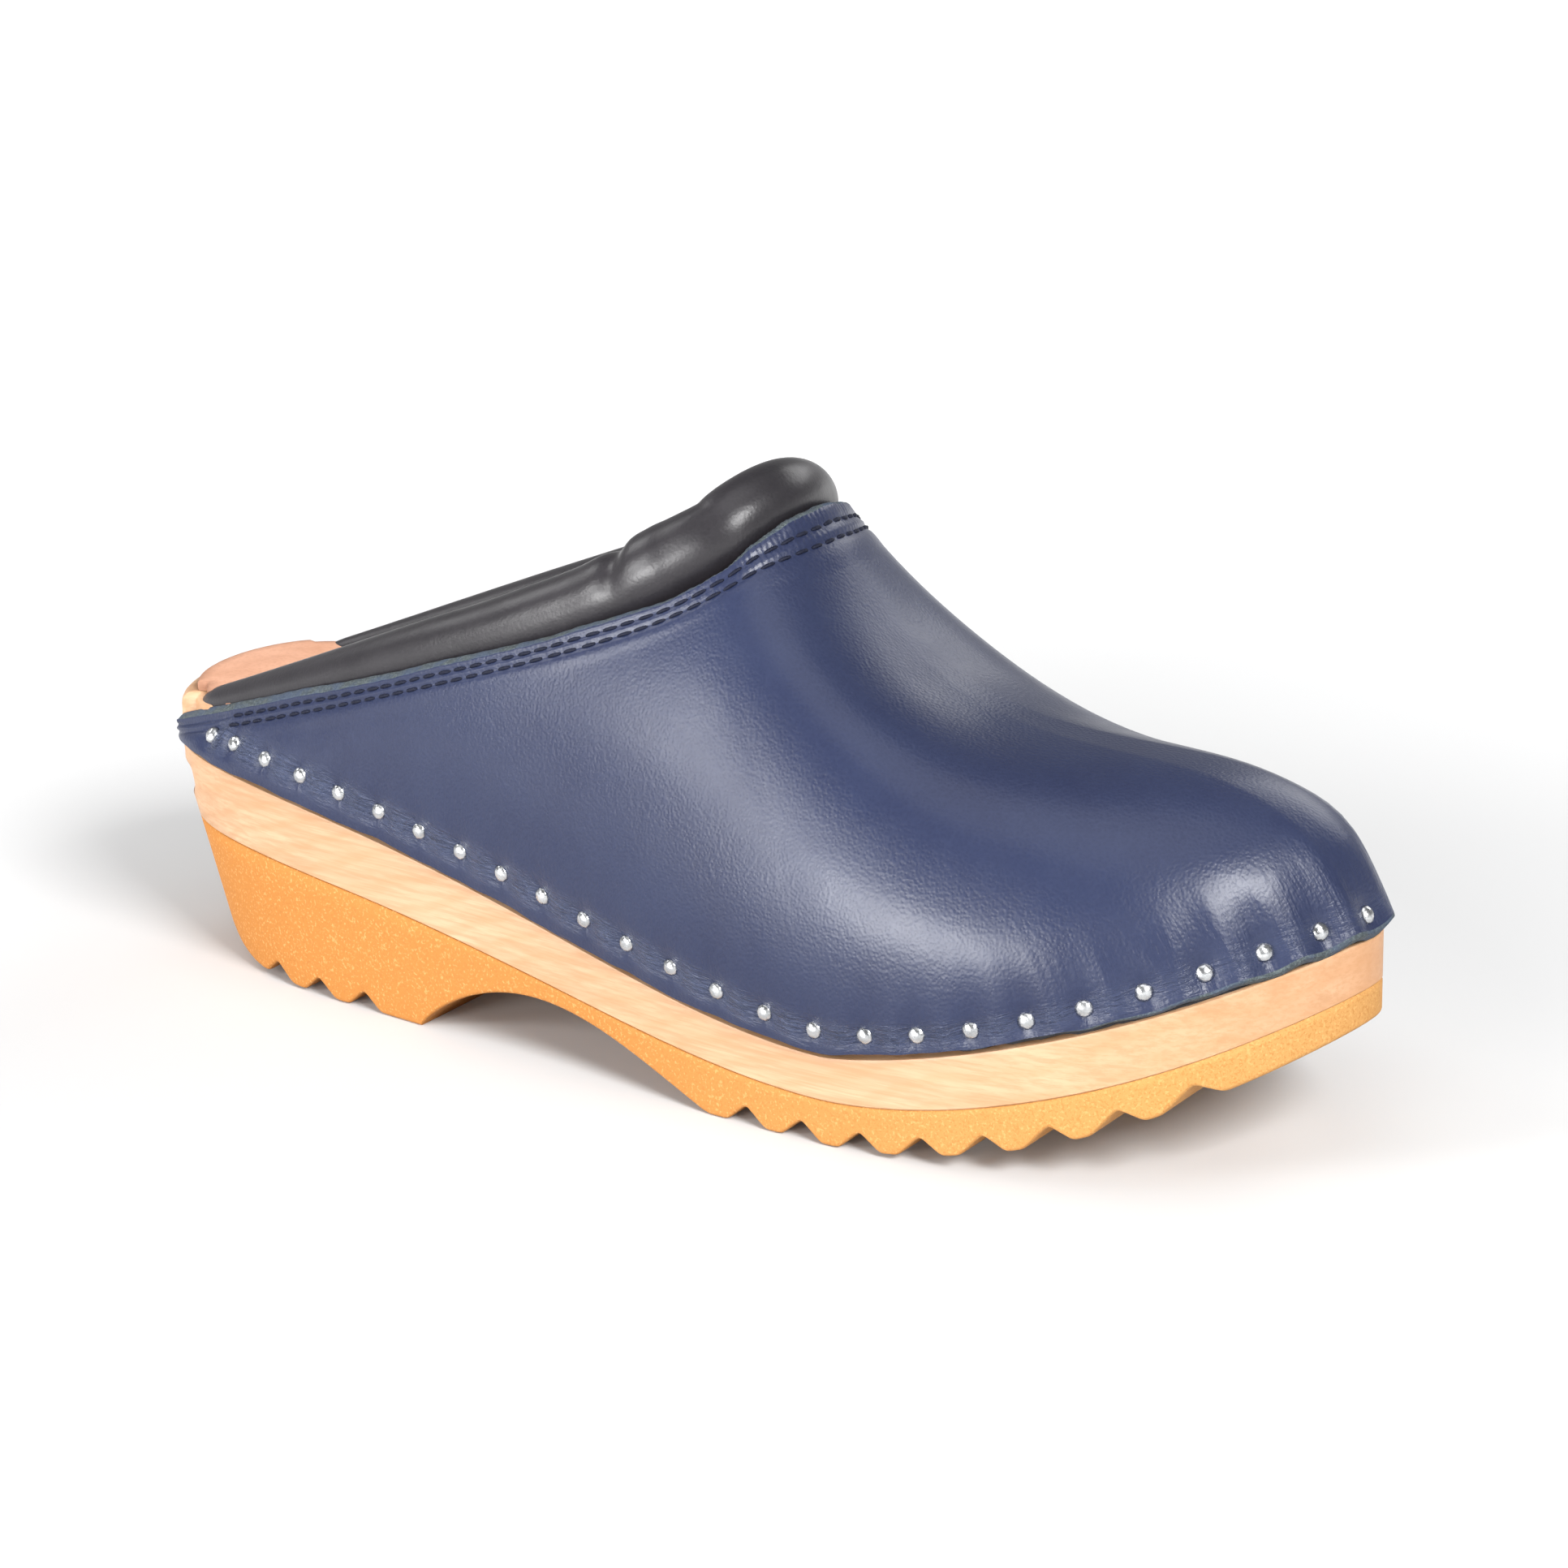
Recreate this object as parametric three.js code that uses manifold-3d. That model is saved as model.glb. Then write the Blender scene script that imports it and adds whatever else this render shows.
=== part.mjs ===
// A wooden clog for the right foot: a leather upper with a padded collar, nailed round a wooden sole
// that has a one-piece soft outsole under it.
// Millimetres. +X runs to the toe, +Y to the inner side of the foot, +Z up.
import * as THREE from "three";
import { mergeVertices } from "three/addons/utils/BufferGeometryUtils.js";
import Module from "manifold-3d";

const wasm = await Module();
wasm.setup();

// Wooden sole, seen from above
const SOLE_LENGTH = 265;
const HEEL_WIDTH = 62;
const WAIST_WIDTH = 69;
const BALL_WIDTH = 91;

// Heights above the floor of the lines that run along the sole: at the heel, ball and toe
const OUTSOLE_TOP = { heel: 29, ball: 8.7, toe: 33.5, toeCurve: 1.7 };
const WOOD_SHOULDER = { heel: 45, ball: 18.2, toe: 43.5, toeCurve: 1.35 };
const FOOTBED = { heel: 54, ball: 28.5, toe: 52, toeCurve: 1.55 };
const TREAD = { heel: 0, ball: 0, toe: 27.2, toeCurve: 1.85 };

// Outsole
const HEEL_SLOPE = 0.25;
const HEEL_LEAN_FROM = 38;
const HEEL_TAPER = 2.4;
const HEEL_SPRING = 3;
const HEEL_TIP_RADIUS = 8;
const ARCH_HEIGHT = 12.7;
const NOTCH_PITCH = 12.5;
const NOTCH_DEPTH = 3.4;
const NOTCH_MOUTH = 8;
const HEEL_NOTCHES = 3;
const BALL_NOTCHES = 8;

// Wooden rim and insole
const HEEL_GROOVE_DEPTH = 2.6;
const HEEL_GROOVE_DROP = 9;
const RIM_CHAMFER = 2;
const INSOLE_THICKNESS = 1.8;
const INSOLE_INSET = 2.2;

// Upper
const THROAT_HEIGHT = 106.8;
const LEATHER_THICKNESS = 2;
const LINING_THICKNESS = 1;
const LEATHER_PROUD = 1.2;
const LINING_SHOWS = 0.7;
const UPPER_END_HEIGHT = 4.5;

// Collar
const COLLAR_RADIUS = 7.6;
const COLLAR_END_RADIUS = 2.4;
const COLLAR_SKIN = 0.9;
const COLLAR_LIFT = 0.25;
const COLLAR_END = 0.975;
const COLLAR_TAPER = 0.42;

// Nails and thread
const NAILS_OUTER_SIDE = 26;
const NAILS_INNER_SIDE = 21;
const NAIL_HEAD_DIAMETER = 3.2;
const NAIL_HEAD_HEIGHT = 1.3;
const NAIL_SHANK_DIAMETER = 1.3;
const NAIL_LENGTH = 12;
const NAIL_POINT_LENGTH = 1.5;
const NAIL_DOME = { radiusShare: 0.7, heightShare: 0.75 };
const NAIL_ABOVE_EDGE = { side: 6.4, toe: 3.4 };
const NAILS_FROM = 0.915;
const END_NAIL = 0.945;
const THREAD_DIAMETER = 0.8;
const STITCH_ROWS = [2.2, 4.2];
const STITCH_END = 0.9;

// Clearances
const GAP = 0.3;
const WOOD_GAP = 0.8;
const THREAD_GAP = 0.45;
const HOLE_GAP = 0.55;
const NAIL_SEAT_GAP = 0.4;
const CUT_MARGIN = 20;

// Fineness of the facets
const EDGE_STEPS = 60;
const BACK_STEPS = 10;
const HOLE_SIDES = 4;
const NAIL_SIDES = 6;
const LINE_STEPS = 26;
const COLLAR_SIDES = 8;
const COLLAR_STEPS = 46;
const COLLAR_CROWDING = 0.6;
const STITCH_STEPS = 50;

const HEEL_X = -SOLE_LENGTH / 2;
const BALL_SHARE = 0.669;
const SPRING_SHARE = 0.23;
const ARCH_SHARES = { from: 0.29, to: 0.568 };
const NOTCH_SHARES = { heel: 0.138, ball: 0.603 };

// ---------------------------------------------------------------- curves

const clamp01 = (value) => Math.min(1, Math.max(0, value));
const smooth = (value) => clamp01(value) ** 2 * (3 - 2 * clamp01(value));
const mix = (a, b, share) => a + (b - a) * share;

// Evenly spaced values from one end to the other.
const stations = (from, to, count) => Array.from({ length: count + 1 }, (_, i) => mix(from, to, i / count));

// Natural cubic spline through values[i] at knots[i].
function spline(knots, values) {
  const last = knots.length - 1;
  const bend = new Array(last + 1).fill(0);
  const carry = new Array(last + 1).fill(0);
  for (let i = 1; i < last; i += 1) {
    const before = knots[i] - knots[i - 1];
    const after = knots[i + 1] - knots[i];
    const slopes = (values[i + 1] - values[i]) / after - (values[i] - values[i - 1]) / before;
    const pivot = 2 * (before + after) - before * carry[i - 1];
    carry[i] = after / pivot;
    bend[i] = (6 * slopes - before * bend[i - 1]) / pivot;
  }
  for (let i = last - 1; i > 0; i -= 1) bend[i] -= carry[i] * bend[i + 1];
  return (at) => {
    let i = 0;
    while (i < last - 1 && at > knots[i + 1]) i += 1;
    const span = knots[i + 1] - knots[i];
    const b = (at - knots[i]) / span;
    const a = 1 - b;
    const curve = ((a ** 3 - a) * bend[i] + (b ** 3 - b) * bend[i + 1]) * (span ** 2 / 6);
    return a * values[i] + b * values[i + 1] + curve;
  };
}

// Share of the sole's length, 0 at the back of the heel and 1 at the toe.
const lengthShare = (x) => (x - HEEL_X) / SOLE_LENGTH;

// Height of one of the sole's lines at x.
function lineHeight(line, x) {
  const share = lengthShare(x);
  const toHeel = clamp01((BALL_SHARE - share) / BALL_SHARE) ** 0.88;
  const toToe = clamp01((share - BALL_SHARE) / (1 - BALL_SHARE)) ** line.toeCurve;
  return line.ball + (line.heel - line.ball) * smooth(toHeel) + (line.toe - line.ball) * toToe;
}

// The sole's outline as control points: heel back, outer side, toe, inner side.
function outlinePoints() {
  const heel = HEEL_WIDTH / 2;
  const waist = WAIST_WIDTH / 2;
  const ball = BALL_WIDTH / 2;
  const points = [
    [0, 0],
    [0.026, -0.66 * heel],
    [0.105, -heel],
    [0.248, -mix(heel, waist, 1.15)],
    [0.406, -mix(waist, ball, 0.33)],
    [0.568, -0.95 * ball],
    [0.692, -0.98 * ball],
    [0.812, -0.91 * ball],
    [0.91, -0.71 * ball],
    [0.977, -0.34 * ball],
    [1, 0.02 * ball],
    [0.96, 0.37 * ball],
    [0.895, 0.69 * ball],
    [0.815, 0.91 * ball],
    [0.72, 1.01 * ball],
    [0.586, 0.92 * ball],
    [0.436, 0.94 * waist],
    [0.267, 0.9 * waist],
    [0.117, 0.98 * heel],
    [0.03, 0.66 * heel],
  ];
  return points.map(([share, y]) => [HEEL_X + share * SOLE_LENGTH, y]);
}

// A closed smooth curve by arc length: at(0) and at(1) are the back of the heel.
function closedCurve(points) {
  const wrap = 4;
  const count = points.length;
  const knots = [];
  const xs = [];
  const ys = [];
  let length = 0;
  for (let i = -wrap; i <= count + wrap; i += 1) {
    const [x, y] = points[(i + count * 2) % count];
    if (knots.length) length += Math.hypot(x - xs[xs.length - 1], y - ys[ys.length - 1]);
    knots.push(length);
    xs.push(x);
    ys.push(y);
  }
  const curveX = spline(knots, xs);
  const curveY = spline(knots, ys);
  const start = knots[wrap];
  const end = knots[wrap + count];
  const fine = 600;
  const travelled = [0];
  for (let i = 1; i <= fine; i += 1) {
    const from = mix(start, end, (i - 1) / fine);
    const to = mix(start, end, i / fine);
    travelled.push(travelled[i - 1] + Math.hypot(curveX(to) - curveX(from), curveY(to) - curveY(from)));
  }
  const total = travelled[fine];
  const at = (share) => {
    const wanted = (share - Math.floor(share)) * total;
    let i = 0;
    while (i < fine - 1 && travelled[i + 1] < wanted) i += 1;
    const within = (wanted - travelled[i]) / (travelled[i + 1] - travelled[i]);
    const knot = mix(start, end, (i + within) / fine);
    return new THREE.Vector2(curveX(knot), curveY(knot));
  };
  return { at, total };
}

const OUTLINE = closedCurve(outlinePoints());

function outwardAt(share) {
  const along = OUTLINE.at(share + 0.002).sub(OUTLINE.at(share - 0.002)).normalize();
  return new THREE.Vector2(along.y, -along.x);
}

// The share of the outline at which a test first holds, walking from one share to another.
function findShare(from, to, test) {
  const steps = 2000;
  for (let i = 0; i <= steps; i += 1) {
    const share = mix(from, to, i / steps);
    if (test(OUTLINE.at(share))) return share;
  }
  return to;
}

const UPPER_START_X = HEEL_X + 7;
const OUTER_END = findShare(0, 0.5, (p) => p.x > UPPER_START_X);
const INNER_END = findShare(1, 0.5, (p) => p.x > UPPER_START_X);
const TOE_SHARE = findShare(0.25, 0.75, (p) => p.x > HEEL_X + SOLE_LENGTH - 0.5 && p.y > -2);

// Place round the outline for s, from -1 at the outer heel end by 0 at the toe to 1 at the inner heel end.
function edgeShare(s) {
  return s < 0 ? mix(TOE_SHARE, OUTER_END, -s) : mix(TOE_SHARE, INNER_END, s);
}

// ---------------------------------------------------------------- the upper as a surface

// Ribs of the upper. top: where the rib meets the topline, x as a share of the length, y as a share of
// half the ball width, z as a share of the rise from the heel end to the throat. rise: how the rib
// leaves the sole. reach: how it comes to the topline.
const RIBS = [
  { s: -1, top: [0.027, -0.5, 0], rise: [0, -0.3, 1.5], reach: [0, -0.3, -1.5] },
  { s: -0.75, top: [0.286, -0.758, 0.391], rise: [0, -2, 12], reach: [0, -3, -11] },
  { s: -0.5, top: [0.496, -0.637, 0.736], rise: [1, -6, 25], reach: [3, -13, -21] },
  { s: -0.25, top: [0.556, -0.424, 0.927], rise: [2, -5, 28], reach: [26, -14, -32] },
  { s: 0, top: [0.571, -0.06, 1], rise: [-23, 0, 54], reach: [41, 1, -67] },
  { s: 0.25, top: [0.549, 0.363, 0.913], rise: [1, 2, 24], reach: [26, 9, -36] },
  { s: 0.5, top: [0.487, 0.604, 0.717], rise: [1, 5, 24], reach: [3, 12, -21] },
  { s: 0.75, top: [0.286, 0.692, 0.391], rise: [0, 2, 12], reach: [0, 3, -11] },
  { s: 1, top: [0.027, 0.5, 0], rise: [0, 0.3, 1.5], reach: [0, 0.3, -1.5] },
];

function ribRow(pick) {
  const knots = RIBS.map((rib) => rib.s);
  const rows = [0, 1, 2].map((axis) => spline(knots, RIBS.map((rib) => pick(rib)[axis])));
  return (s) => new THREE.Vector3(...rows.map((row) => row(s)));
}

const riseRow = ribRow((rib) => rib.rise);
const reachRow = ribRow((rib) => rib.reach);
const topRow = ribRow((rib) => {
  const lowest = lineHeight(WOOD_SHOULDER, UPPER_START_X) + UPPER_END_HEIGHT;
  return [
    HEEL_X + rib.top[0] * SOLE_LENGTH,
    (rib.top[1] * BALL_WIDTH) / 2,
    mix(lowest, THROAT_HEIGHT, rib.top[2]),
  ];
});

// Lower edge of the upper's outer face.
function upperEdge(s) {
  const share = edgeShare(s);
  const place = OUTLINE.at(share).addScaledVector(outwardAt(share), LEATHER_PROUD);
  return new THREE.Vector3(place.x, place.y, lineHeight(WOOD_SHOULDER, place.x));
}

// Outer face of the upper: v runs from 0 at the lower edge to 1 at the topline.
function upperFace(s, v) {
  const low = upperEdge(s);
  const top = topRow(s);
  const lowHandle = low.clone().add(riseRow(s));
  const topHandle = top.clone().add(reachRow(s));
  const w = 1 - v;
  return low
    .multiplyScalar(w ** 3)
    .addScaledVector(lowHandle, 3 * w * w * v)
    .addScaledVector(topHandle, 3 * w * v * v)
    .addScaledVector(top, v ** 3);
}

// Directions at a place on the upper: out of the leather, along the edge, and up across the edge.
function upperFrame(s, v) {
  const step = 0.004;
  const along = upperFace(s + step, v).sub(upperFace(s - step, v)).normalize();
  const rib = upperFace(s, v + step).sub(upperFace(s, v - step)).normalize();
  const out = new THREE.Vector3().crossVectors(along, rib).normalize();
  const up = new THREE.Vector3().crossVectors(out, along).normalize();
  return { out, along, up };
}

// A point under (negative) or over the upper's outer face.
const upperPoint = (s, v, depth) => upperFace(s, v).addScaledVector(upperFrame(s, v).out, depth);

function ribLength(s) {
  let length = 0;
  for (let i = 0; i < 8; i += 1) {
    length += upperFace(s, i / 8).distanceTo(upperFace(s, (i + 1) / 8));
  }
  return length;
}

const EDGE_STATIONS = stations(-1, 1, EDGE_STEPS);
const FINE_SHARES = stations(0, 1, 100);
const RIB_STATIONS = [0, 0.06, 0.16, 0.33, 0.56, 0.78, 0.93, 1];

// ---------------------------------------------------------------- bodies

// A closed body from points and triangles, turned so that its faces point out.
function bodyOf(points, triangles) {
  let volume = 0;
  const edge = new THREE.Vector3();
  for (const [a, b, c] of triangles) volume += edge.crossVectors(points[a], points[b]).dot(points[c]);
  const order = volume < 0 ? triangles.map(([a, b, c]) => [a, c, b]) : triangles;
  const geometry = new THREE.BufferGeometry().setFromPoints(points);
  geometry.setIndex(order.flat());
  return geometry;
}

const quad = (a, b, c, d) => [[a, b, c], [a, c, d]];

// A body lofted through closed rings of equal count, with a flat-triangulated cap at each end.
function loftBody(rings) {
  const count = rings[0].length;
  const triangles = [];
  for (let r = 0; r + 1 < rings.length; r += 1) {
    for (let i = 0; i < count; i += 1) {
      const j = (i + 1) % count;
      triangles.push(...quad(r * count + i, r * count + j, (r + 1) * count + j, (r + 1) * count + i));
    }
  }
  const outline = rings[0].map((point) => new THREE.Vector2(point.x, point.y));
  const top = (rings.length - 1) * count;
  for (const [a, b, c] of THREE.ShapeUtils.triangulateShape(outline, [])) {
    triangles.push([a, c, b], [top + a, top + b, top + c]);
  }
  return bodyOf(rings.flat(), triangles);
}

// A body between two grids of points: face[i][k] outside and back[i][k] inside.
function sheetBody(face, back) {
  const columns = face.length;
  const rows = face[0].length;
  const points = [...face.flat(), ...back.flat()];
  const at = (i, k) => i * rows + k;
  const behind = (i, k) => columns * rows + at(i, k);
  const triangles = [];
  for (let i = 0; i + 1 < columns; i += 1) {
    for (let k = 0; k + 1 < rows; k += 1) {
      triangles.push(...quad(at(i, k), at(i + 1, k), at(i + 1, k + 1), at(i, k + 1)));
      triangles.push(...quad(behind(i, k), behind(i, k + 1), behind(i + 1, k + 1), behind(i + 1, k)));
    }
    triangles.push(...quad(at(i, 0), behind(i, 0), behind(i + 1, 0), at(i + 1, 0)));
    const top = rows - 1;
    triangles.push(...quad(at(i, top), at(i + 1, top), behind(i + 1, top), behind(i, top)));
  }
  for (let k = 0; k + 1 < rows; k += 1) {
    triangles.push(...quad(at(0, k), at(0, k + 1), behind(0, k + 1), behind(0, k)));
    const end = columns - 1;
    triangles.push(...quad(at(end, k), behind(end, k), behind(end, k + 1), at(end, k + 1)));
  }
  return bodyOf(points, triangles);
}

// A pipe or rod through rings of equal count: with inner rings it is open right through.
function sweptBody(rings, innerRings) {
  const count = rings[0].length;
  const length = rings.length;
  const points = [...rings.flat(), ...(innerRings ?? []).flat()];
  const inside = rings.length * count;
  const end = (length - 1) * count;
  const triangles = [];
  for (let i = 0; i < count; i += 1) {
    const j = (i + 1) % count;
    for (let r = 0; r + 1 < length; r += 1) {
      const here = r * count;
      const next = here + count;
      triangles.push(...quad(here + i, here + j, next + j, next + i));
      if (innerRings) {
        triangles.push(...quad(inside + here + i, inside + next + i, inside + next + j, inside + here + j));
      }
    }
    if (innerRings) {
      triangles.push(...quad(i, inside + i, inside + j, j));
      triangles.push(...quad(end + i, end + j, inside + end + j, inside + end + i));
    } else if (i > 0 && j > 0) {
      triangles.push([0, j, i], [end, end + i, end + j]);
    }
  }
  return bodyOf(points, triangles);
}

function toSolid(geometry) {
  const plain = geometry.clone();
  plain.deleteAttribute("normal");
  plain.deleteAttribute("uv");
  const merged = mergeVertices(plain, 1e-4);
  return new wasm.Manifold(
    new wasm.Mesh({
      numProp: 3,
      vertProperties: new Float32Array(merged.attributes.position.array),
      triVerts: new Uint32Array(merged.index.array),
    }),
  );
}

function toGeometry(solid) {
  const mesh = solid.getMesh();
  const geometry = new THREE.BufferGeometry();
  geometry.setAttribute("position", new THREE.BufferAttribute(mesh.vertProperties, 3));
  geometry.setIndex(new THREE.BufferAttribute(mesh.triVerts, 1));
  return geometry;
}

// A slab whose side view is the closed outline of (x, z) points, wide enough to span the shoe.
function sideProfile(points) {
  const width = BALL_WIDTH * 2;
  const shape = new THREE.Shape(points.map(([x, z]) => new THREE.Vector2(x, z)));
  const slab = new THREE.ExtrudeGeometry(shape, { depth: width, bevelEnabled: false });
  slab.rotateX(Math.PI / 2).translate(0, width / 2, 0);
  return toSolid(slab);
}

const LINE_XS = stations(HEEL_X - 8, HEEL_X + SOLE_LENGTH + 8, LINE_STEPS);
const linePoints = (line, offset) => LINE_XS.map((x) => [x, lineHeight(line, x) + offset]);

// ---------------------------------------------------------------- sole

const RIM_HEIGHT = FOOTBED.heel - WOOD_SHOULDER.heel;
const LEAN_REACH = 8;
const LINING_OUTSIDE = -LEATHER_THICKNESS - GAP;
const LINING_INSIDE = LINING_OUTSIDE - LINING_THICKNESS;

// How far a point of the heel moves forward at height z, so that the back of the heel slopes.
function heelLean(x, z) {
  const heelEnd = smooth((0.22 - lengthShare(x)) / 0.22);
  return HEEL_SLOPE * heelEnd * Math.max(0, HEEL_LEAN_FROM - z);
}

// A level ring of the sole's side face at height z; the heel also narrows towards the floor.
function levelRing(z) {
  return SOLE_SHARES.map((share) => {
    const heel = smooth((0.4 - lengthShare(OUTLINE.at(share).x)) / 0.3);
    const inset = (HEEL_TAPER * heel * (HEEL_LEAN_FROM - z)) / HEEL_LEAN_FROM;
    const place = OUTLINE.at(share).addScaledVector(outwardAt(share), -inset);
    return new THREE.Vector3(place.x + heelLean(place.x, z), place.y, z);
  });
}

// Stations round the whole outline: those of the upper, then the bare back of the heel.
const SOLE_SHARES = [
  ...EDGE_STATIONS.map(edgeShare),
  ...stations(INNER_END, 1 + OUTER_END, BACK_STEPS).slice(1, -1),
];

const SPRING_FROM = HEEL_X + SPRING_SHARE * SOLE_LENGTH;
const ARCH_FROM = HEEL_X + ARCH_SHARES.from * SOLE_LENGTH;
const ARCH_TO = HEEL_X + ARCH_SHARES.to * SOLE_LENGTH;

// Height of the tread without its notches: it lifts a little to the back of the heel and more to the toe.
function treadHeight(x) {
  const toBack = Math.max(0, (SPRING_FROM - x) / (SPRING_FROM - HEEL_X));
  return lineHeight(TREAD, x) + HEEL_SPRING * toBack ** 2;
}

function notchPoints(x) {
  const step = 0.5;
  const slope = (treadHeight(x + step) - treadHeight(x - step)) / (2 * step);
  const along = new THREE.Vector2(1, slope).normalize();
  const half = NOTCH_MOUTH / 2;
  const shape = [[-half, 0], [-0.25 * half, 0.88], [0, 1], [0.25 * half, 0.88], [half, 0]];
  return shape.map(([u, rise]) => [
    x + u * along.x - rise * NOTCH_DEPTH * along.y,
    treadHeight(x) + u * along.y + rise * NOTCH_DEPTH * along.x,
  ]);
}

// Centres of the notches, a pitch apart along the tread.
function notchRow(firstShare, count) {
  const xs = [HEEL_X + firstShare * SOLE_LENGTH];
  while (xs.length < count) {
    const x = xs[xs.length - 1];
    const slope = treadHeight(x + NOTCH_PITCH) - treadHeight(x);
    xs.push(x + NOTCH_PITCH * Math.cos(Math.atan2(slope, NOTCH_PITCH)));
  }
  return xs;
}

// Side view of the underside, from the rounded back corner of the heel to past the toe.
function treadLine() {
  const heelTip = HEEL_X + heelLean(HEEL_X, 0);
  const tip = stations(0, Math.PI / 2, 4).map((angle) => [
    heelTip + HEEL_TIP_RADIUS * (1 - Math.cos(angle)),
    HEEL_SPRING * 0.75 + HEEL_TIP_RADIUS * (1 - Math.sin(angle)),
  ]);
  const arch = stations(0, 1, 12).map((share) => [
    mix(ARCH_FROM, ARCH_TO, share),
    ARCH_HEIGHT * Math.sin(Math.PI * share ** 0.8),
  ]);
  const heelNotches = notchRow(NOTCH_SHARES.heel, HEEL_NOTCHES);
  const ballNotches = notchRow(NOTCH_SHARES.ball, BALL_NOTCHES);
  const toe = stations(ballNotches.at(-1) + NOTCH_MOUTH, HEEL_X + SOLE_LENGTH + 8, 4);
  return [
    [HEEL_X - 8, HEEL_SPRING + HEEL_TIP_RADIUS],
    ...tip,
    ...heelNotches.flatMap(notchPoints),
    ...arch,
    ...ballNotches.flatMap(notchPoints),
    ...toe.map((x) => [x, treadHeight(x)]),
  ];
}

function outsoleSolid() {
  const block = toSolid(loftBody([levelRing(-20), levelRing(HEEL_LEAN_FROM)]));
  return block.intersect(sideProfile([...treadLine(), ...linePoints(OUTSOLE_TOP, -GAP).reverse()]));
}

// The wood's nailed face at a height over the leather's edge: on the outline, or behind the lining.
function rimPoint(s, height) {
  const depth = LEATHER_THICKNESS + GAP + LINING_THICKNESS + WOOD_GAP;
  const z = upperEdge(s).z + height;
  const v = FINE_SHARES.find((share) => upperPoint(s, share, -depth).z >= z) ?? 1;
  const behind = upperPoint(s, v, -depth);
  const edge = OUTLINE.at(edgeShare(s));
  const out = outwardAt(edgeShare(s));
  const outset = (behind.x - edge.x) * out.x + (behind.y - edge.y) * out.y;
  const place = edge.addScaledVector(out, Math.min(0, outset));
  return new THREE.Vector3(place.x, place.y, z);
}

// Height of the wooden shoulder that the lining's lower edge stays above.
function shoulderHeight(s) {
  const lowest = Math.min(liningFoot(s, LINING_OUTSIDE).z, liningFoot(s, LINING_INSIDE).z);
  return lowest - GAP;
}

// One ring of the wooden sole's rim: heightAt gives its height over the leather's edge at s. At the bare
// back of the heel the ring has a height and an offset of its own.
function rimRing(heightAt, backHeight, backOffset) {
  const nailed = EDGE_STATIONS.map((s) => rimPoint(s, heightAt(s)));
  const bare = SOLE_SHARES.slice(EDGE_STATIONS.length).map((share) => {
    const place = OUTLINE.at(share).addScaledVector(outwardAt(share), backOffset);
    return new THREE.Vector3(place.x, place.y, lineHeight(WOOD_SHOULDER, place.x) + backHeight);
  });
  return [...nailed, ...bare];
}

// A ring round the body of the wood, below the shoulder by a drop and inset at the bare back.
function shoulderRing(drop, backInset) {
  return SOLE_SHARES.map((share, i) => {
    const nailed = i < EDGE_STATIONS.length;
    const place = OUTLINE.at(share).addScaledVector(outwardAt(share), nailed ? 0 : -backInset);
    const shoulder = nailed ? shoulderHeight(EDGE_STATIONS[i]) : lineHeight(WOOD_SHOULDER, place.x);
    const z = shoulder - drop;
    return new THREE.Vector3(place.x + heelLean(place.x, z), place.y, z);
  });
}

function woodenSoleSolid() {
  const rings = [
    levelRing(-CUT_MARGIN),
    levelRing(OUTSOLE_TOP.ball - GAP),
    shoulderRing(HEEL_GROOVE_DROP + HEEL_GROOVE_DEPTH, 0),
    shoulderRing(HEEL_GROOVE_DROP, HEEL_GROOVE_DEPTH),
    shoulderRing(HEEL_GROOVE_DROP - HEEL_GROOVE_DEPTH, 0.5),
    shoulderRing(GAP, 0),
    rimRing((s) => shoulderHeight(s) - upperEdge(s).z, 0, 0),
    rimRing(() => RIM_HEIGHT / 2, RIM_HEIGHT / 2, 0),
    rimRing(() => RIM_HEIGHT, RIM_HEIGHT, -RIM_CHAMFER / 2),
  ];
  rings.push(rings.at(-1).map((point) => point.clone().setZ(FOOTBED.heel + CUT_MARGIN)));
  const side = [...linePoints(OUTSOLE_TOP, 0), ...linePoints(FOOTBED, 0).reverse()];
  return toSolid(loftBody(rings)).intersect(sideProfile(side));
}

// Outline of the insole: inside the rim, and inside it again where the lining leans in above.
function insoleRing(z) {
  const nailed = EDGE_STATIONS.map((s) => {
    const low = rimPoint(s, RIM_HEIGHT + INSOLE_THICKNESS);
    const high = rimPoint(s, RIM_HEIGHT + LEAN_REACH);
    const out = outwardAt(edgeShare(s));
    const lean = (high.x - low.x) * out.x + (high.y - low.y) * out.y;
    const inset = INSOLE_INSET - Math.min(0, lean);
    return new THREE.Vector3(low.x - out.x * inset, low.y - out.y * inset, z);
  });
  const bare = SOLE_SHARES.slice(EDGE_STATIONS.length).map((share) => {
    const place = OUTLINE.at(share).addScaledVector(outwardAt(share), -RIM_CHAMFER - INSOLE_INSET);
    return new THREE.Vector3(place.x, place.y, z);
  });
  return [...nailed, ...bare];
}

function insoleSolid() {
  const block = toSolid(loftBody([insoleRing(0), insoleRing(FOOTBED.heel + CUT_MARGIN)]));
  const top = GAP + INSOLE_THICKNESS;
  return block.intersect(sideProfile([...linePoints(FOOTBED, GAP), ...linePoints(FOOTBED, top).reverse()]));
}

// ---------------------------------------------------------------- upper, lining, collar, thread

function upperSolid() {
  const face = EDGE_STATIONS.map((s) => RIB_STATIONS.map((v) => upperPoint(s, v, 0)));
  const back = EDGE_STATIONS.map((s) => RIB_STATIONS.map((v) => upperPoint(s, v, -LEATHER_THICKNESS)));
  return toSolid(sheetBody(face, back));
}

// The lining hangs a little below the leather and stops short of the collar.
function liningFoot(s, depth) {
  const foot = upperPoint(s, 0, depth);
  foot.z -= LINING_SHOWS;
  return foot;
}

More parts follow.
